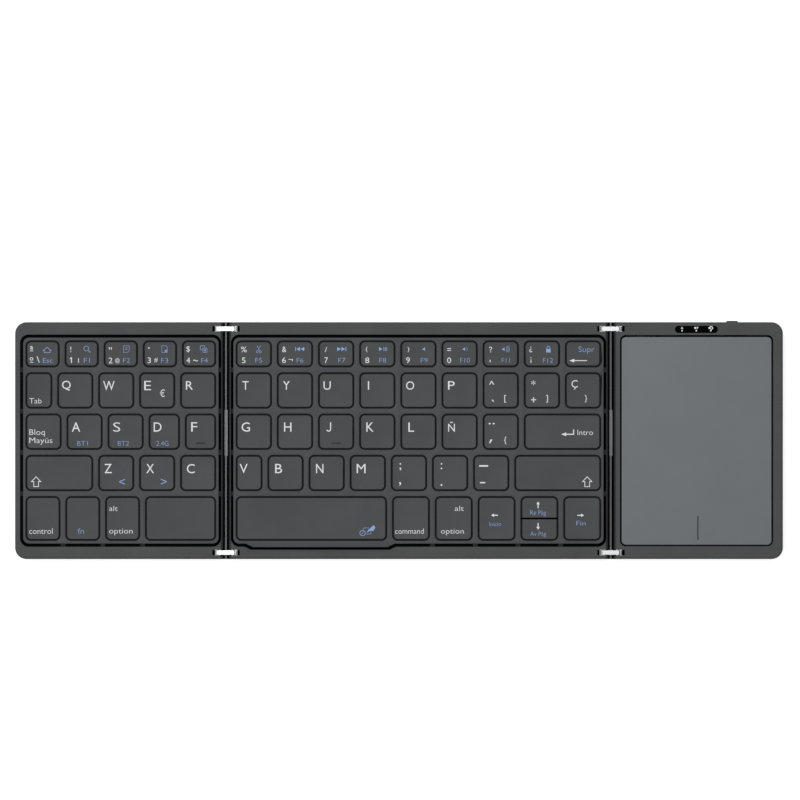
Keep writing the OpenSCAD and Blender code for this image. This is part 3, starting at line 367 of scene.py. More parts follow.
def smooth(piece, degrees=30):
    only(piece)
    bpy.ops.object.shade_smooth_by_angle(angle=math.radians(degrees))


def block(x, y, z):
    bpy.ops.mesh.primitive_cube_add(size=1, location=[(a + b) / 2 * mm for a, b in (x, y, z)])
    cube = bpy.context.object
    cube.scale = [(b - a) * mm for a, b in (x, y, z)]
    bpy.ops.object.transform_apply(location=True, rotation=True, scale=True)
    return cube


def disc(x, y, z, r, sides):
    bpy.ops.mesh.primitive_cylinder_add(vertices=sides, radius=r * mm, depth=(z[1] - z[0]) * mm,
                                        location=(x * mm, y * mm, (z[0] + z[1]) / 2 * mm))
    bpy.ops.object.transform_apply(location=True, rotation=True, scale=True)
    return bpy.context.object


def roundEdges(piece, width, steps, rule):
    only(piece)
    selectEdges(piece, rule)
    bpy.ops.mesh.bevel(offset=width * mm, segments=steps, affect="EDGES")
    bpy.ops.object.mode_set(mode="OBJECT")


def isUpright(ends, faces):
    return abs(ends[0].z - ends[1].z) > small["length"] and (ends[0] - ends[1]).xy.length < small["place"]


def isAt(height):  # rule for edges at a height in millimetres
    return lambda ends, faces: all(abs(v.z - height * mm) < small["place"] for v in ends)


def runsAlong(axis):  # rule for edges that go some way along an axis
    return lambda ends, faces: abs(ends[0][axis] - ends[1][axis]) > small["length"]


def facesDown(centre, normal):
    return normal.z < -small["up"]


def isTopRim(top):  # rule for edges between an upright side and the face at a height in metres
    def rule(ends, faces):
        tops = [f for f in faces if f.normal.z > small["up"] and abs(f.center.z - top) < small["height"]]
        sides = [f for f in faces if abs(f.normal.z) < small["flat"] and f.center.z < top]
        return len(tops) == 1 and len(sides) == 1
    return rule


def span(node, axis):
    low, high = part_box(node)
    return low[axis] / mm, high[axis] / mm


def extent(piece, axis):
    values = [v.co[axis] for v in piece.data.vertices]
    return min(values), max(values)


def closeUp(piece):
    only(piece)
    bpy.ops.object.mode_set(mode="EDIT")
    bpy.ops.mesh.select_all(action="SELECT")
    bpy.ops.mesh.remove_doubles(threshold=small["weld"])
    bpy.ops.object.mode_set(mode="OBJECT")


def takePlace(piece, node):  # on the node's body, instead of it
    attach(piece, bodyOf[node])
    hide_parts(node)


def inCamel(text):
    first, *rest = text.split("_")
    return first + "".join(word.capitalize() for word in rest)


def copyOf(node, name):  # own copy of a solid, with its triangles made whole faces
    piece = nodes[node].copy()
    piece.data = nodes[node].data.copy()
    for key in list(piece.keys()):
        del piece[key]
    bpy.context.scene.collection.objects.link(piece)
    piece.parent = None
    piece.name = name
    piece.data.name = name
    piece.data.materials.clear()
    piece.data.materials.append(finishes[slotOf[node]])
    only(piece)
    bpy.ops.object.mode_set(mode="EDIT")
    bpy.ops.mesh.customdata_custom_splitnormals_clear()
    bpy.ops.mesh.select_all(action="SELECT")
    bpy.ops.mesh.remove_doubles(threshold=small["place"])
    bpy.ops.mesh.dissolve_limited(angle_limit=math.radians(small["degrees"]))
    bpy.ops.object.mode_set(mode="OBJECT")
    return piece


def separated(piece):  # one object for each solid
    only(piece)
    bpy.ops.object.mode_set(mode="EDIT")
    bpy.ops.mesh.select_all(action="SELECT")
    bpy.ops.mesh.separate(type="LOOSE")
    bpy.ops.object.mode_set(mode="OBJECT")
    return list(bpy.context.selected_objects)


# keys: rounded top edges and a shallow dish

key = {"top": 7.45, "edge": 0.15, "edgeSteps": 3, "rim": 0.3, "dish": 0.07, "smooth": 35}

keyNodes = [n for n in nodes if slotOf[n] == "key_plastic"]
for node in keyNodes:
    piece = copyOf(node, inCamel(node))
    top = key["top"] * mm
    roundEdges(piece, key["edge"], key["edgeSteps"], isTopRim(top))
    only(piece)
    selectFaces(piece, lambda centre, normal: normal.z > small["up"] and abs(centre.z - top) < small["height"])
    bpy.ops.mesh.inset(thickness=key["rim"] * mm, depth=-key["dish"] * mm, use_boundary=True)
    bpy.ops.object.mode_set(mode="OBJECT")
    smooth(piece, key["smooth"])
    takePlace(piece, node)
print("keys made:", len(keyNodes))


# key plates: softened edges round the openings, and wider ones along the outline

plate = {"opening": 0.3, "openingSteps": 2, "outline": 0.35, "outlineSteps": 3, "margin": 5, "side": 0.3, "smooth": 35}

for node in ("left_key_plate", "centre_key_plate"):
    piece = copyOf(node, inCamel(node))
    low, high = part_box(node)
    isRim = isTopRim(high.z)

    def isOutline(ends, faces):  # the side looks outwards and the outline is less than a key's margin away
        at = (ends[0] + ends[1]) / 2
        side = [f for f in faces if abs(f.normal.z) < small["flat"]][0].normal
        reach = [(high.x - at.x) if side.x > plate["side"] else 1, (at.x - low.x) if side.x < -plate["side"] else 1,
                 (high.y - at.y) if side.y > plate["side"] else 1, (at.y - low.y) if side.y < -plate["side"] else 1]
        return min(reach) < plate["margin"] * mm

    roundEdges(piece, plate["outline"], plate["outlineSteps"],
               lambda ends, faces: isRim(ends, faces) and isOutline(ends, faces))
    roundEdges(piece, plate["opening"], plate["openingSteps"],
               lambda ends, faces: isRim(ends, faces) and not isOutline(ends, faces))
    smooth(piece, plate["smooth"])
    takePlace(piece, node)
print("key plates made")


# key legends, in millimetres

signs = [  # ink, height; then text, centre x, centre y, width (None: the font's own), height where it differs
    ("white", 3.7, [
        ("Q", -133.05, 22, 3.5, 3.95), ("W", -116.05, 22, 4.55), ("E", -100.55, 22.05, 2.75), ("Ç", 70.25, 22.35, 2.5),
        ("A", -129.2, 5.45, 3.35), ("S", -112.9, 5.45, 2.85), ("D", -96.55, 5.45, 3.15), ("F", -81.9, 5.5, 2.45),
        ("G", -61.3, 5.45, 3.35), ("H", -44.5, 5.45, 2.95), ("K", -11.6, 5.45, 2.9),
        ("L", 4.9, 5.4, 2.3), ("Ñ", 21, 5.6, 2.7, 3.95), ("Z", -116.35, -11.15, 2.9), ("X", -99.55, -11.15, 3.05),
        ("C", -83.3, -11.2, 3.15), ("V", -62.15, -11.15, 3.2), ("B", -48.15, -11.15, 2.8),
        ("N", -31.7, -11.15, 2.95), ("M", -15.15, -11.15, 3.55)]),
    ("white", 3.4, [
        ("R", -83.85, 22.1, 2.8), ("T", -61.4, 22.1, 2.55), ("Y", -45.05, 22.1, 2.7), ("U", -28.75, 22.05, 2.9),
        ("I", -12.2, 22.1, None), ("O", 4.45, 22.05, 3.25), ("P", 20.95, 22.1, 2.7)]),
    ("white", 2.25, [
        ("2", -115.4, 32.1, 1.55), ("3", -99.9, 32.15, 1.35), ("4", -84.3, 32.15, 1.45), ("5", -62.1, 32.15, 1.45),
        ("6", -46, 32.2, 1.5), ("7", -29.1, 32.2, 1.35), ("8", -12.7, 32.15, 1.6), ("9", 3.6, 32.2, 1.55),
        ("0", 20.05, 32.15, 1.6), ("%", -62.05, 36.5, 2.35), ("&", -45.9, 36.5, 1.7), ("$", -84.35, 36.55, 1.4, 2.5),
        ("!", -131.3, 36.5, None), ("¡", 52.8, 32.25, None),
        ("(", -12.9, 36.5, 0.7), (")", 3.75, 36.45, 0.7), ("/", -29.2, 36.45, 0.9, 2), ("\\", -144.35, 32.5, 1.2, 2.5),
        ("|", -128.2, 32.05, 0.3, 1.8), ("@", -112.65, 32, 1.85, 2), ("#", -97.2, 32.2, 1.4, 1.8)]),
    ("white", 1.35, [
        ("ª", -147, 37.15, 1.2), ("_", -147, 35.9, 1.25, 0.25), ("º", -147, 32.7, 1.4), ("_", -147, 31.35, 1.4, 0.25),
        ('"', -115.45, 36.85, 1.2, 0.95), ("·", -100.05, 37.05, 0.6, 0.6), ("~", -81.4, 32.05, 1.85, 0.7),
        ("¬", -43.4, 32.25, 1.8, 0.75), ("=", 20.05, 36.45, 1.5, 1.05), ("'", 36.45, 31.8, None, 1.05)]),
    ("white", 3.0, [
        ("€", -94.65, 19, 2), ("^", 37.05, 23.15, 2, 1.5), ("`", 37.5, 15.95, 1, 0.85), ("[", 42.5, 16.75, None),
        ("*", 53.75, 23.15, 1.75, 1.85), ("+", 53.8, 16.35, 2.05, 2.05), ("]", 59.2, 16.75, None),
        ("}", 74.8, 16.8, None), ("¨", 37.05, 6.8, 2.4, 0.65), ("´", 36.7, -0.3, 1.35, 1.5), ("{", 42.5, 0.1, None),
        (";", 0.55, -10.5, None), (",", 0.45, -17.3, None, 1.5), (":", 17, -10.2, None, 2.45),
        (".", 17, -17.75, 0.75, 0.75), ("_", 33.85, -10.1, 3.55, 0.6), ("_", 33.4, -16.8, 2.1, 0.5)]),
    ("blue", 1.85, [
        ("F1", -124.85, 32.1, 2.4), ("F2", -109, 32.1, 2.75), ("F3", -93.75, 32.1, 2.75), ("F4", -77.8, 32.1, 2.6),
        ("F5", -56.1, 32.15, 2.7), ("F6", -39.6, 32.15, 2.65), ("F7", -22.85, 32.15, 2.75), ("F8", -6.5, 32.15, 2.7),
        ("F9", 10.1, 32.15, 2.75), ("F10", 26.4, 32.15, 3.8), ("F11", 42.7, 32.15, 3.25), ("F12", 59.6, 32.1, 3.95),
        ("Esc", -140.55, 32.1, 3.85), ("BT1", -126.6, -1.1, 4.25), ("BT2", -110.25, -1.1, 4.45),
        ("2.4G", -94.65, -1.1, 4.85)]),
    ("pale", 2.3, [("<", -110.75, -16.45, 2.3), (">", -94.1, -16.4, 2.3)]),
]
words = [  # ink; then text, from x, to x, baseline, capital height
    ("white", [
        ("Tab", -147.85, -143, 14.9, 2.1), ("Bloq", -147.85, -141.7, 2.3, 2.25),
        ("Mayús", -147.85, -138.65, -0.95, 2.2), ("Intro", 71.4, 77.6, 2.25, 2.1),
        ("control", -147.9, -138.55, -37.3, 2.3), ("alt", -115.9, -112.55, -28.1, 2.05),
        ("option", -115.95, -106.55, -37.15, 2.1), ("command", -1.55, 9.9, -37.25, 2.15),
        ("alt", 22.35, 25.9, -28.1, 2.05), ("option", 16.8, 25.9, -37.2, 2.1)]),
    ("blue", [
        ("Supr", 71.8, 78.15, 35.45, 2.25), ("fn", -128.5, -126.05, -37.2, 2.15), ("Inicio", 36.15, 40.8, -34.15, 1.65),
        ("Re Pág", 52.5, 58.85, -29.65, 1.8), ("Av Pág", 52.5, 58.8, -38.05, 1.65),
        ("Fin", 70.95, 74.65, -33.95, 1.9)]),
]
ink = {"z": 7.375, "thick": 0.02, "capHeight": 0.682, "curveSteps": 3, "wordThinner": 0.009,
       "thinner": {"white": 0.001, "blue": 0.012, "pale": 0.006},
       "stretched": {"Esc": -0.006, "2.4G": -0.004, "S": 0.008, "E": 0.004, "F": 0.004}}
ink["middle"] = ink["z"] + ink["thick"] / 2


pen = {"mitre": 0.35, "dotCorners": 12, "ringCorners": 24}


def stroke(points, width, closed=False):  # outline of a line of even width, with mitred corners
    n = len(points)
    left, right = [], []
    for i, (x, y) in enumerate(points):
        before = points[i - 1] if closed or i > 0 else None
        after = points[(i + 1) % n] if closed or i < n - 1 else None
        ways = []
        for a, b in ((before, (x, y)), ((x, y), after)):
            if a and b:
                d = math.hypot(b[0] - a[0], b[1] - a[1])
                ways.append((-(b[1] - a[1]) / d, (b[0] - a[0]) / d))
        nx = sum(w[0] for w in ways)
        ny = sum(w[1] for w in ways)
        d = math.hypot(nx, ny)
        nx, ny = nx / d, ny / d
        reach = width / 2 / max(pen["mitre"], nx * ways[0][0] + ny * ways[0][1])
        left.append((x + nx * reach, y + ny * reach))
        right.append((x - nx * reach, y - ny * reach))
    return [left, right] if closed else [left + right[::-1]]


def arc(x, y, r, fromDeg, toDeg, steps=10):
    turns = [math.radians(fromDeg + (toDeg - fromDeg) * i / steps) for i in range(steps + 1)]
    return [(x + r * math.cos(a), y + r * math.sin(a)) for a in turns]


def circle(x, y, r, corners):
    return arc(x, y, r, 0, 360 - 360 / corners, corners - 1)


def dot(x, y, r):
    return [circle(x, y, r, pen["dotCorners"])]


def ring(x, y, r, width):
    return stroke(circle(x, y, r, pen["ringCorners"]), width, closed=True)


def box(x, y, w, h):
    return [[(x - w / 2, y - h / 2), (x + w / 2, y - h / 2), (x + w / 2, y + h / 2), (x - w / 2, y + h / 2)]]


def moved(shape, way):  # the way gives each corner its new place
    return [[way(x, y) for x, y in loop] for loop in shape]


def mirrored(shapes):
    return [moved(shape, lambda x, y: (-x, y)) for shape in shapes]


previousTrack = [box(-1.72, 0, 0.28, 1.6), [[(-1.4, 0), (0.05, 0.8), (0.05, -0.8)]],
                 [[(0.3, 0), (1.75, 0.8), (1.75, -0.8)]]]
speaker = [[(-0.7, 0), (0.4, 0.72), (0.4, -0.72)]]
shapes = {
    "home": [stroke([(0, 1.15), (1.6, -0.2), (1.15, -0.2), (1.15, -1.0), (-1.15, -1.0), (-1.15, -0.2), (-1.6, -0.2)],
                    0.24, True)],
    "find": [ring(-0.28, 0.25, 0.98, 0.22), stroke([(0.42, -0.45), (1.35, -1.35)], 0.32)],
    "page": [stroke([(-1.1, 1.3), (1.1, 1.3), (1.1, -0.55), (0.35, -1.3), (-1.1, -1.3)], 0.18, True),
             stroke([(-0.5, 0.45), (0.5, 0.45)], 0.2), stroke([(-0.5, -0.15), (0.3, -0.15)], 0.2)],
    "copy": [stroke([(-1.1, 1.35), (0.5, 1.35), (1.1, 0.75), (1.1, -1.3), (-1.1, -1.3)], 0.18, True),
             box(0.55, -0.7, 0.9, 0.85)],
    "paste": [stroke([(-1.35, 1.3), (0.35, 1.3), (0.35, -0.3), (-1.35, -0.3)], 0.2, True),
              stroke([(-0.35, 0.35), (1.3, 0.35), (1.3, -1.3), (-0.35, -1.3)], 0.2, True), box(0.5, -0.5, 0.7, 0.7)],
    "cut": [stroke([(-0.7, 1.35), (0.42, -0.62)], 0.19), stroke([(0.7, 1.35), (-0.42, -0.62)], 0.19),
            ring(-0.62, -0.98, 0.4, 0.18), ring(0.62, -0.98, 0.4, 0.18)],
    "previous": previousTrack,
    "next": mirrored(previousTrack),
    "play": [[[(-1.62, 0.75), (-1.62, -0.75), (-0.3, 0)]]] + [box(x, 0, 0.22, 1.5) for x in (0.3, 0.88, 1.46)],
    "quiet": [[[(-0.62, 0), (0.5, 0.68), (0.5, -0.68)]]],
    "softer": [moved(speaker, lambda x, y: (x - 0.4, y)), stroke(arc(-0.05, 0, 0.95, -48, 48), 0.15)],
    "louder": [moved(speaker, lambda x, y: (x - 0.85, y)), stroke(arc(-0.5, 0, 0.95, -55, 55), 0.16),
               stroke(arc(-0.5, 0, 1.5, -55, 55), 0.16), stroke(arc(-0.5, 0, 2.0, -38, 38), 0.14)],
    "lock": [box(0, -0.6, 1.75, 1.4), stroke([(-0.58, 0.05)] + arc(0, 0.6, 0.58, 180, 0) + [(0.58, 0.05)], 0.22)],
    "erase": [[[(-3.53, 0), (-1.6, 0.72), (-1.6, 0.17), (3.5, 0.17), (3.5, -0.17), (-1.6, -0.17), (-1.6, -0.72)]]],
    "enter": [[[(-2.65, -0.55), (-0.65, 0.2), (-0.65, -0.34), (2.12, -0.34), (2.12, 1.35), (2.54, 1.35), (2.54, -0.76),
                (-0.65, -0.76), (-0.65, -1.3)]]],
    "shift": [stroke([(0, 1.95), (1.85, 0.05), (0.95, 0.05), (0.95, -1.95), (-0.95, -1.95), (-0.95, 0.05),
                      (-1.85, 0.05)], 0.27, True)],
    "left": [[[(-1.35, 0), (-0.2, 0.68), (-0.2, 0.2), (1.35, 0.2), (1.35, -0.2), (-0.2, -0.2), (-0.2, -0.68)]]],
    "j": [stroke([(0.79, 1.85), (0.79, -0.85)] + arc(0, -0.85, 0.79, 0, -160)[1:], 0.42)],
    "question": [stroke(arc(0, 0.5, 0.48, 170, -45) + [(0, -0.15), (0, -0.42)], 0.28), dot(0, -0.93, 0.19)],
    "one": [[[(0.05, 1.13), (0.41, 1.13), (0.41, -1.13), (0.05, -1.13), (0.05, 0.62), (-0.41, 0.35), (-0.41, 0.68)]]],
    "pad": [stroke([(-1.6, 0.45), (-1.4, 1.1), (0.6, 1.1)], 0.2),
            stroke([(1.35, -0.1), (1.3, -1.3), (-0.75, -1.35)], 0.2),
            ring(-1.97, -0.92, 1.08, 0.28), stroke([(-2.45, -1.5), (-1.5, -0.35)], 0.24)],
    "finger": [[[(-0.3, -0.55), (0.5, 0.5), (2.45, 2.2), (3.15, 1.4), (2.3, -0.1), (1.2, 0.05), (-0.1, -0.7)]]],
}
shapes["right"] = mirrored(shapes["left"])
shapes["turned"] = [moved(shape, lambda x, y: (-x, -y)) for shape in shapes["question"]]
shapes["up"] = [moved(shape, lambda x, y: (y, -x)) for shape in shapes["left"]]
shapes["down"] = [moved(shape, lambda x, y: (y, x)) for shape in shapes["left"]]
icons = [  # ink; then shape, x, y
    ("blue", [("home", -140.76, 36.22), ("find", -124.8, 36.62), ("page", -109.04, 36.62), ("copy", -93.8, 36.62),
              ("paste", -78.12, 36.62), ("cut", -56.08, 36.58), ("pad", -12.6, -36.02)]),
    ("pale", [("previous", -39.64, 36.66), ("next", -22.96, 36.66), ("play", -6.36, 36.66), ("quiet", 9.92, 36.62),
              ("softer", 26.44, 36.62), ("louder", 42.68, 36.58), ("lock", 59.76, 36.58), ("finger", -12.6, -36.02)]),
    ("white", [("one", -131.24, 32.22), ("j", -28.15, 5.45), ("question", 36.6, 36.45),
               ("turned", 52.75, 36.45), ("erase", 71.69, 32.02), ("enter", 67.52, 3.1), ("shift", -145.16, -16.42),
               ("shift", 75.28, -16.42), ("left", 38.2, -29.84), ("up", 55.64, -25.66), ("down", 55.64, -34.3),
               ("right", 72.66, -29.86)]),
]


def printed(text, thinner):  # a text one unit high, as a thin solid
    bpy.ops.object.select_all(action="DESELECT")
    bpy.ops.object.text_add()
    t = bpy.context.object
    t.data.body = text
    t.data.offset = -thinner
    t.data.extrude = ink["thick"] / 2 * mm
    t.data.resolution_u = ink["curveSteps"]
    bpy.ops.object.convert(target="MESH")
    return bpy.context.object


def drawn(shape, reach=None):  # a flat closed shape, as a thin solid or one that reaches as far to each side
    curve = bpy.data.curves.new("shape", "CURVE")
    curve.dimensions = "2D"
    curve.fill_mode = "BOTH"
    curve.extrude = reach or ink["thick"] / 2 * mm
    for loop in shape:
        line = curve.splines.new("POLY")
        line.points.add(len(loop) - 1)
        line.use_cyclic_u = True
        for point, (x, y) in zip(line.points, loop):
            point.co = (x, y, 0, 1)
    piece = bpy.data.objects.new("shape", curve)
    bpy.context.scene.collection.objects.link(piece)
    only(piece)
    bpy.ops.object.convert(target="MESH")
    return bpy.context.object


def put(piece, sx, sy, x, y, z):
    piece.scale = (sx, sy, 1)
    piece.location = (x, y, z * mm)
    return piece


def sign(text, x, y, width, height, thinner):
    piece = printed(text, thinner)
    (x0, x1), (y0, y1) = extent(piece, 0), extent(piece, 1)
    sy = height * mm / (y1 - y0)
    sx = width * mm / (x1 - x0) if width else sy
    return put(piece, sx, sy, x * mm - (x0 + x1) / 2 * sx, y * mm - (y0 + y1) / 2 * sy, ink["middle"])


def word(text, fromX, toX, baseline, capital):
    piece = printed(text, ink["wordThinner"])
    x0, x1 = extent(piece, 0)
    sx = (toX - fromX) * mm / (x1 - x0)
    sy = capital * mm / ink["capHeight"]
    return put(piece, sx, sy, fromX * mm - x0 * sx, baseline * mm, ink["middle"])


def sizeOf(node):
    low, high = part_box(node)
    return (high.x - low.x) * (high.y - low.y)


bySize = sorted(keyNodes, key=sizeOf)


def keyUnder(x, y):
    for n in bySize:
        low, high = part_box(n)
        if low.x < x * mm < high.x and low.y < y * mm < high.y:
            return n
    raise ValueError(f"no key at {x}, {y}")


prints = {}


def printOn(x, y, colour, piece):
    prints.setdefault((keyUnder(x, y), colour), []).append(piece)


for colour, height, rows in signs:
    for text, x, y, width, *own in rows:
        thinner = ink["thinner"][colour] + ink["stretched"].get(text, 0)
        printOn(x, y, colour, sign(text, x, y, width, own[0] if own else height, thinner))
for colour, rows in words:
    for text, x0, x1, base, capital in rows:
        printOn((x0 + x1) / 2, base + capital / 2, colour, word(text, x0, x1, base, capital))
for colour, rows in icons:
    for name, x, y in rows:
        for shape in shapes[name]:
            printOn(x, y, colour, put(drawn(shape), mm, mm, x * mm, y * mm, ink["middle"]))
for (node, colour), pieces in prints.items():
    piece = joined(pieces, inCamel(node) + colour.capitalize() + "Print", "legend_" + colour)
    closeUp(piece)
    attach(piece, bodyOf[node])
print("legends made:", len(prints))


# touchpad: glass plate with softened edges and a printed line between its two click areas

pad = {"corner": 1.7, "cornerSteps": 8, "edge": 0.2, "edgeSteps": 3, "play": 0.15, "frontPlay": 0.1, "rearPlay": 0.27,
       "lineX": 119.55, "lineFrom": -39.7, "lineTo": -30.1, "lineWidth": 0.55}
(x0, x1), (y0, y1), (z0, z1) = [span("touchpad_plate", a) for a in range(3)]
glass = block((x0 + pad["play"], x1 - pad["play"]), (y0 + pad["frontPlay"], y1 - pad["rearPlay"]), (z0, z1))
roundEdges(glass, pad["corner"], pad["cornerSteps"], isUpright)
roundEdges(glass, pad["edge"], pad["edgeSteps"], isAt(z1))
settle(glass, "touchpadGlass", "touchpad_glass")
smooth(glass)
takePlace(glass, "touchpad_plate")
line = drawn(stroke([(0, pad["lineFrom"]), (0, pad["lineTo"])], pad["lineWidth"]))
settle(put(line, mm, mm, pad["lineX"] * mm, 0, z1), "touchpadLine", "mark_grey")
closeUp(line)
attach(line, "touchpad")
print("touchpad made")


# indicator window with three signs and a lamp dot under each

window = {"ends": 10, "endPlay": 0.01, "edge": 0.12, "edgeSteps": 2,
          "signs": [113.2, 118.92, 124.72], "signY": 45.1, "dotY": 43.98, "dot": 0.3}
lampSigns = [
    [[[(-0.44, -0.4), (0.44, -0.4), (0, 0.5)]]],
    [dot(-0.42, 0, 0.42), box(0.35, 0.02, 0.3, 0.8), dot(0.62, 0.25, 0.2)],
    [dot(-0.5, -0.02, 0.45), stroke(arc(0.1, -0.02, 0.6, -100, 140), 0.36)],
]
x, y, z = [span("indicator_window", a) for a in range(3)]
glass = block(x, y, z)
roundEdges(glass, (y[1] - y[0]) / 2 - window["endPlay"], window["ends"], isUpright)
roundEdges(glass, window["edge"], window["edgeSteps"], isAt(z[1]))
settle(glass, "indicatorGlass", "window_black")
smooth(glass)
takePlace(glass, "indicator_window")
marks = []
for x, drawing in zip(window["signs"], lampSigns):
    for shape in drawing + [dot(0, window["dotY"] - window["signY"], window["dot"])]:
        marks.append(put(drawn(shape), mm, mm, x * mm, window["signY"] * mm, z[1]))
marks = joined(marks, "indicatorSigns", "legend_white")
closeUp(marks)
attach(marks, "right_panel")
print("indicators made")


# switch knob with grip ribs on its outer face

knob = {"deep": 1.2, "edge": 0.1, "edgeSteps": 2, "gripFrom": 0.8, "gripPlay": 1,
        "ribs": 9, "groove": 0.12, "bevel": 0.03}
(x0, x1), (y0, y1), z = [span("switch_knob", a) for a in range(3)]
base = block((x0, x1), (y0, y0 + knob["deep"]), z)
roundEdges(base, knob["edge"], knob["edgeSteps"], lambda ends, faces: True)
x0, x1 = x0 + knob["gripPlay"], x1 - knob["gripPlay"]
grip = block((x0, x1), (y0 + knob["gripFrom"], y1), z)
only(grip)
selectEdges(grip, runsAlong(0))
bpy.ops.mesh.subdivide(number_cuts=2 * knob["ribs"])
bpy.ops.object.mode_set(mode="OBJECT")
step = (x1 - x0) / (2 * knob["ribs"] + 1) * mm
selectFaces(grip, lambda centre, normal: normal.y > small["up"] and int((centre.x - x0 * mm) / step) % 2 == 1)
bpy.ops.mesh.inset(thickness=knob["bevel"] * mm, depth=-knob["groove"] * mm, use_individual=True)
bpy.ops.object.mode_set(mode="OBJECT")
takePlace(joined([base, grip], "switchKnob", "switch_plastic"), "switch_knob")
print("switch made")


# charging socket: drawn steel shell, plastic tongue, gold contacts

socket = {"corner": 1.2, "cornerSteps": 6, "wall": 0.3, "back": 0.6}
tongue = {"width": 6.74, "thick": 0.7, "from": 0.5, "play": 1.1, "edge": 0.2, "edgeSteps": 2, "reach": 0.1}
contact = {"count": 12, "pitch": 0.5, "width": 0.24, "thick": 0.06, "from": 2, "play": 1.5}
x, (y0, y1), z = [span("usb_socket", a) for a in range(3)]
shell = block(x, (y0, y1), z)
roundEdges(shell, socket["corner"], socket["cornerSteps"], runsAlong(1))
selectFaces(shell, lambda centre, normal: normal.y > small["up"])
bpy.ops.mesh.inset(thickness=socket["wall"] * mm)
bpy.ops.mesh.extrude_region_move(TRANSFORM_OT_translate={"value": (0, -(y1 - y0 - socket["back"]) * mm, 0)})
bpy.ops.object.mode_set(mode="OBJECT")
settle(shell, "chargingShell", "bright_metal")
smooth(shell)
middleX, middleZ = sum(x) / 2, sum(z) / 2


def aroundMiddle(middle, width):
    return middle - width / 2, middle + width / 2


front = y1 - tongue["play"]
blade = block(aroundMiddle(middleX, tongue["width"]), (y0 + tongue["from"], front),
              aroundMiddle(middleZ, tongue["thick"]))
roundEdges(blade, tongue["edge"], tongue["edgeSteps"],
           lambda ends, faces: all(v.y > (front - tongue["reach"]) * mm for v in ends))
settle(blade, "chargingTongue", "switch_plastic")
contacts = []
for i in range(contact["count"]):
    contactX = middleX + (i - (contact["count"] - 1) / 2) * contact["pitch"]
    for contactZ in aroundMiddle(middleZ, tongue["thick"]):
        contacts.append(block(aroundMiddle(contactX, contact["width"]), (y0 + contact["from"], y1 - contact["play"]),
                              aroundMiddle(contactZ, contact["thick"])))
contacts = joined(contacts, "chargingContacts", "contact_gold")
takePlace(shell, "usb_socket")
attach(blade, "right_panel")
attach(contacts, "right_panel")
print("charging socket made")


# hinge links: flat bars with rounded undersides and a seam near one end

link = {"half": 4.45, "width": 1.8, "under": 1.6, "seam": 3.35, "seamWidth": 0.22, "seamDepth": 0.15,
        "edge": 0.08, "edgeSteps": 2, "fromSide": 1, "smooth": 15}


def linkPiece(name, x, y, bottom, top):
    half, r, seam = link["half"], link["under"], link["seam"]
    before, after, low = seam - link["seamWidth"] / 2, seam + link["seamWidth"] / 2, top - link["seamDepth"]
    outline = [(-half, top), (before, top), (before, low), (after, low), (after, top), (half, top)]
    outline += arc(half - r, bottom + r, r, 0, -90) + arc(r - half, bottom + r, r, 270, 180)
    bar = drawn([outline], link["width"] / 2)
    bar.scale = (mm, mm, mm)
    bar.rotation_euler.x = math.radians(90)
    bar.location = (x * mm, y * mm, 0)
    settle(bar, name, "bright_metal")
    closeUp(bar)
    roundEdges(bar, link["edge"], link["edgeSteps"],
               lambda ends, faces: sorted(round(abs(f.normal.y), 1) for f in faces) == [0, 1])
    return bar


for side in ("left", "right"):
    node = side + "_links"
    x, (y0, y1), z = [span(node, a) for a in range(3)]
    bars = [linkPiece(side + "Link", sum(x) / 2, y, *z) for y in (y0 + link["fromSide"], y1 - link["fromSide"])]
    bars = joined(bars, side + "Links", "bright_metal")
    smooth(bars, link["smooth"])
    takePlace(bars, node)
print("hinge links made")


# feet and screws

foot = {"sides": 48, "edge": 0.3, "edgeSteps": 4, "rim": 0.5, "slope": 0.25, "dimple": 0.12}
screw = {"sides": 24, "head": 0.4, "edge": 0.1, "edgeSteps": 2, "socket": 0.42, "socketSlope": 0.02, "depth": 0.22,
         "shank": 0.6, "shankSides": 16, "overlap": 0.05}


def placesOf(node):  # centres and radii of a node's separate solids
    places = []
    for p in separated(copyOf(node, "sorting")):
        (x0, x1), (y0, y1) = extent(p, 0), extent(p, 1)
        places.append(((x0 + x1) / 2 / mm, (y0 + y1) / 2 / mm, (x1 - x0) / 2 / mm))
        bpy.data.objects.remove(p)
    return sorted(places)


def footPiece(radius, z):
    piece = disc(0, 0, z, radius, foot["sides"])
    roundEdges(piece, foot["edge"], foot["edgeSteps"], isAt(z[0]))
    selectFaces(piece, facesDown)
    bpy.ops.mesh.inset(thickness=foot["rim"] * mm)
    bpy.ops.mesh.inset(thickness=foot["slope"] * mm, depth=-foot["dimple"] * mm)
    bpy.ops.object.mode_set(mode="OBJECT")
    return piece


def screwPiece(radius, z):
    under = z[0] + screw["head"]
    head = disc(0, 0, (z[0], under), radius, screw["sides"])
    roundEdges(head, screw["edge"], screw["edgeSteps"], isAt(z[0]))
    selectFaces(head, facesDown)
    bpy.ops.mesh.inset(thickness=(radius - screw["edge"] - screw["socket"]) * mm)
    bpy.ops.mesh.inset(thickness=screw["socketSlope"] * mm, depth=-screw["depth"] * mm)
    bpy.ops.object.mode_set(mode="OBJECT")
    shank = disc(0, 0, (under - screw["overlap"], z[1]), screw["shank"], screw["shankSides"])
    only(head, shank)
    bpy.ops.object.join()
    return bpy.context.object


def repeated(model, places, name, finishName):
    copies = []
    for x, y, r in places:
        c = model.copy()
        c.data = model.data.copy()
        bpy.context.scene.collection.objects.link(c)
        c.location = (x * mm, y * mm, 0)
        copies.append(c)
    bpy.data.objects.remove(model)
    return joined(copies, name, finishName)


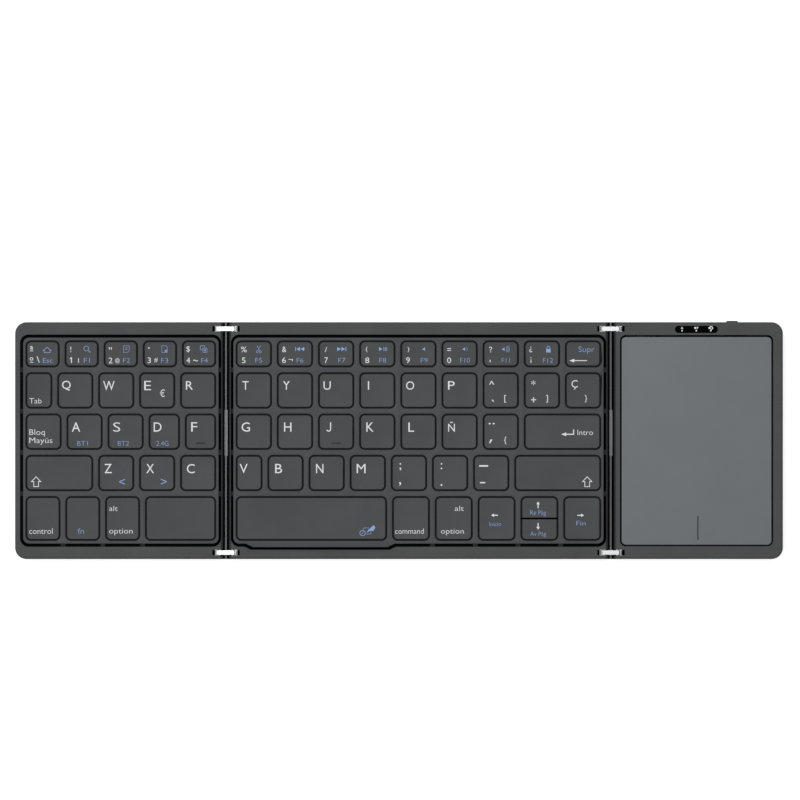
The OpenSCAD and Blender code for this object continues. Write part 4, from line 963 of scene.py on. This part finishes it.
for side in ("left", "centre", "right"):
    for kind, maker in (("feet", footPiece), ("screws", screwPiece)):
        node = side + "_" + kind
        places = placesOf(node)
        piece = repeated(maker(places[0][2], span(node, 2)), places, side + kind.capitalize(), slotOf[node])
        smooth(piece)
        takePlace(piece, node)
print("feet and screws made")


# rubber domes: one piece for each key, from the dome solids under it

dome = {"smooth": 40}

domes = {}
for side in ("left", "centre"):
    node = side + "_domes"
    for piece in separated(settle(copyOf(node, side + "Domes"), side + "Domes", "dome_rubber")):
        (x0, x1), (y0, y1) = extent(piece, 0), extent(piece, 1)
        domes.setdefault((node, keyUnder((x0 + x1) / 2 / mm, (y0 + y1) / 2 / mm)), []).append(piece)
for (node, keyNode), pieces in domes.items():
    z = span(node, 2)
    piece = joined(pieces, inCamel(keyNode) + "Domes", "dome_rubber")
    smooth(piece, dome["smooth"])
    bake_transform(piece)
    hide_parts(node)
print("rubber domes made:", len(domes))


# ribbon cables: two halves for each hinge, split at the spine's middle

cable = {"steps": 16, "thick": 0.2, "bendFrom": 1.2, "bendTo": 5.5}


def cableHalf(name, x, y, z, middle, way):
    strip = block(x, y, z)
    only(strip)
    selectEdges(strip, runsAlong(0))
    bpy.ops.mesh.subdivide(number_cuts=cable["steps"])
    bpy.ops.object.mode_set(mode="OBJECT")
    settle(strip, name, "membrane_film")
    height = (z[0] + z[1]) / 2 * mm
    start, end = [((middle + way * cable[at]) * mm, 0, height) for at in ("bendFrom", "bendTo")]
    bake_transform(strip)
    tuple(start)
    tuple(end)
    return strip


for side in ("left", "right"):
    node, spine, outer = side + "_ribbon", side + "_spine", side + "_panel"
    x, y, z = [span(node, a) for a in range(3)]
    z = (z[0], z[0] + cable["thick"])
    middle = sum(span(spine, 0)) / 2
    low, high = (outer, "centre_panel") if side == "left" else ("centre_panel", outer)
    for half in (cableHalf(side + "CableLow", (x[0], middle), y, z, middle, -1),
                 cableHalf(side + "CableHigh", (middle, x[1]), y, z, middle, 1)):
        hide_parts(node)
print("ribbon cables made")


# floor, light and camera

stage = {"floor": 3.0, "floorTone": 0.85, "floorRough": 0.9, "floorLift": 0.65, "sky": 0.5,
         "lamp": 12.3, "lampSize": 1.6, "lampAt": (-0.6, 0.4, 1.55)}
view = {"at": (0.0004, 0.01626, 6.0075), "lens": 675, "sensor": 36, "clipEnd": 50}

bpy.ops.mesh.primitive_plane_add(size=stage["floor"], location=(0, 0, 0))
floor = bpy.context.object
floor.name = "floor"
floorMat = bpy.data.materials.new("floor_white")
floorMat.use_nodes = True
tree = floorMat.node_tree
shader = tree.nodes["Principled BSDF"]
shader.inputs["Base Color"].default_value = (*[stage["floorTone"]] * 3, 1)
shader.inputs["Roughness"].default_value = stage["floorRough"]
shader.inputs["Specular IOR Level"].default_value = 0
shader.inputs["Emission Color"].default_value = (1, 1, 1, 1)
rays = tree.nodes.new("ShaderNodeLightPath")
seen = largest(tree, *[rays.outputs[f"Is {kind} Ray"] for kind in ("Camera", "Glossy", "Transmission")])
tree.links.new(calc(tree, "MULTIPLY", seen, stage["floorLift"]), shader.inputs["Emission Strength"])
floor.data.materials.append(floorMat)

world = bpy.data.worlds.new("sky")
bpy.context.scene.world = world
world.use_nodes = True
sky = world.node_tree.nodes["Background"]
sky.inputs["Color"].default_value = (1, 1, 1, 1)
sky.inputs["Strength"].default_value = stage["sky"]

bpy.ops.object.light_add(type="AREA", location=stage["lampAt"])
lamp = bpy.context.object
lamp.data.shape = "SQUARE"
lamp.data.size = stage["lampSize"]
lamp.data.energy = stage["lamp"]
aim = -lamp.location
lamp.rotation_euler = aim.to_track_quat("-Z", "Y").to_euler()

bpy.ops.object.camera_add(location=view["at"], rotation=(0, 0, 0))
camera = bpy.context.object
camera.data.lens = view["lens"]
camera.data.sensor_width = view["sensor"]
camera.data.clip_end = view["clipEnd"]
bpy.context.scene.camera = camera
bpy.context.scene.view_settings.view_transform = "Standard"

print("scene made")
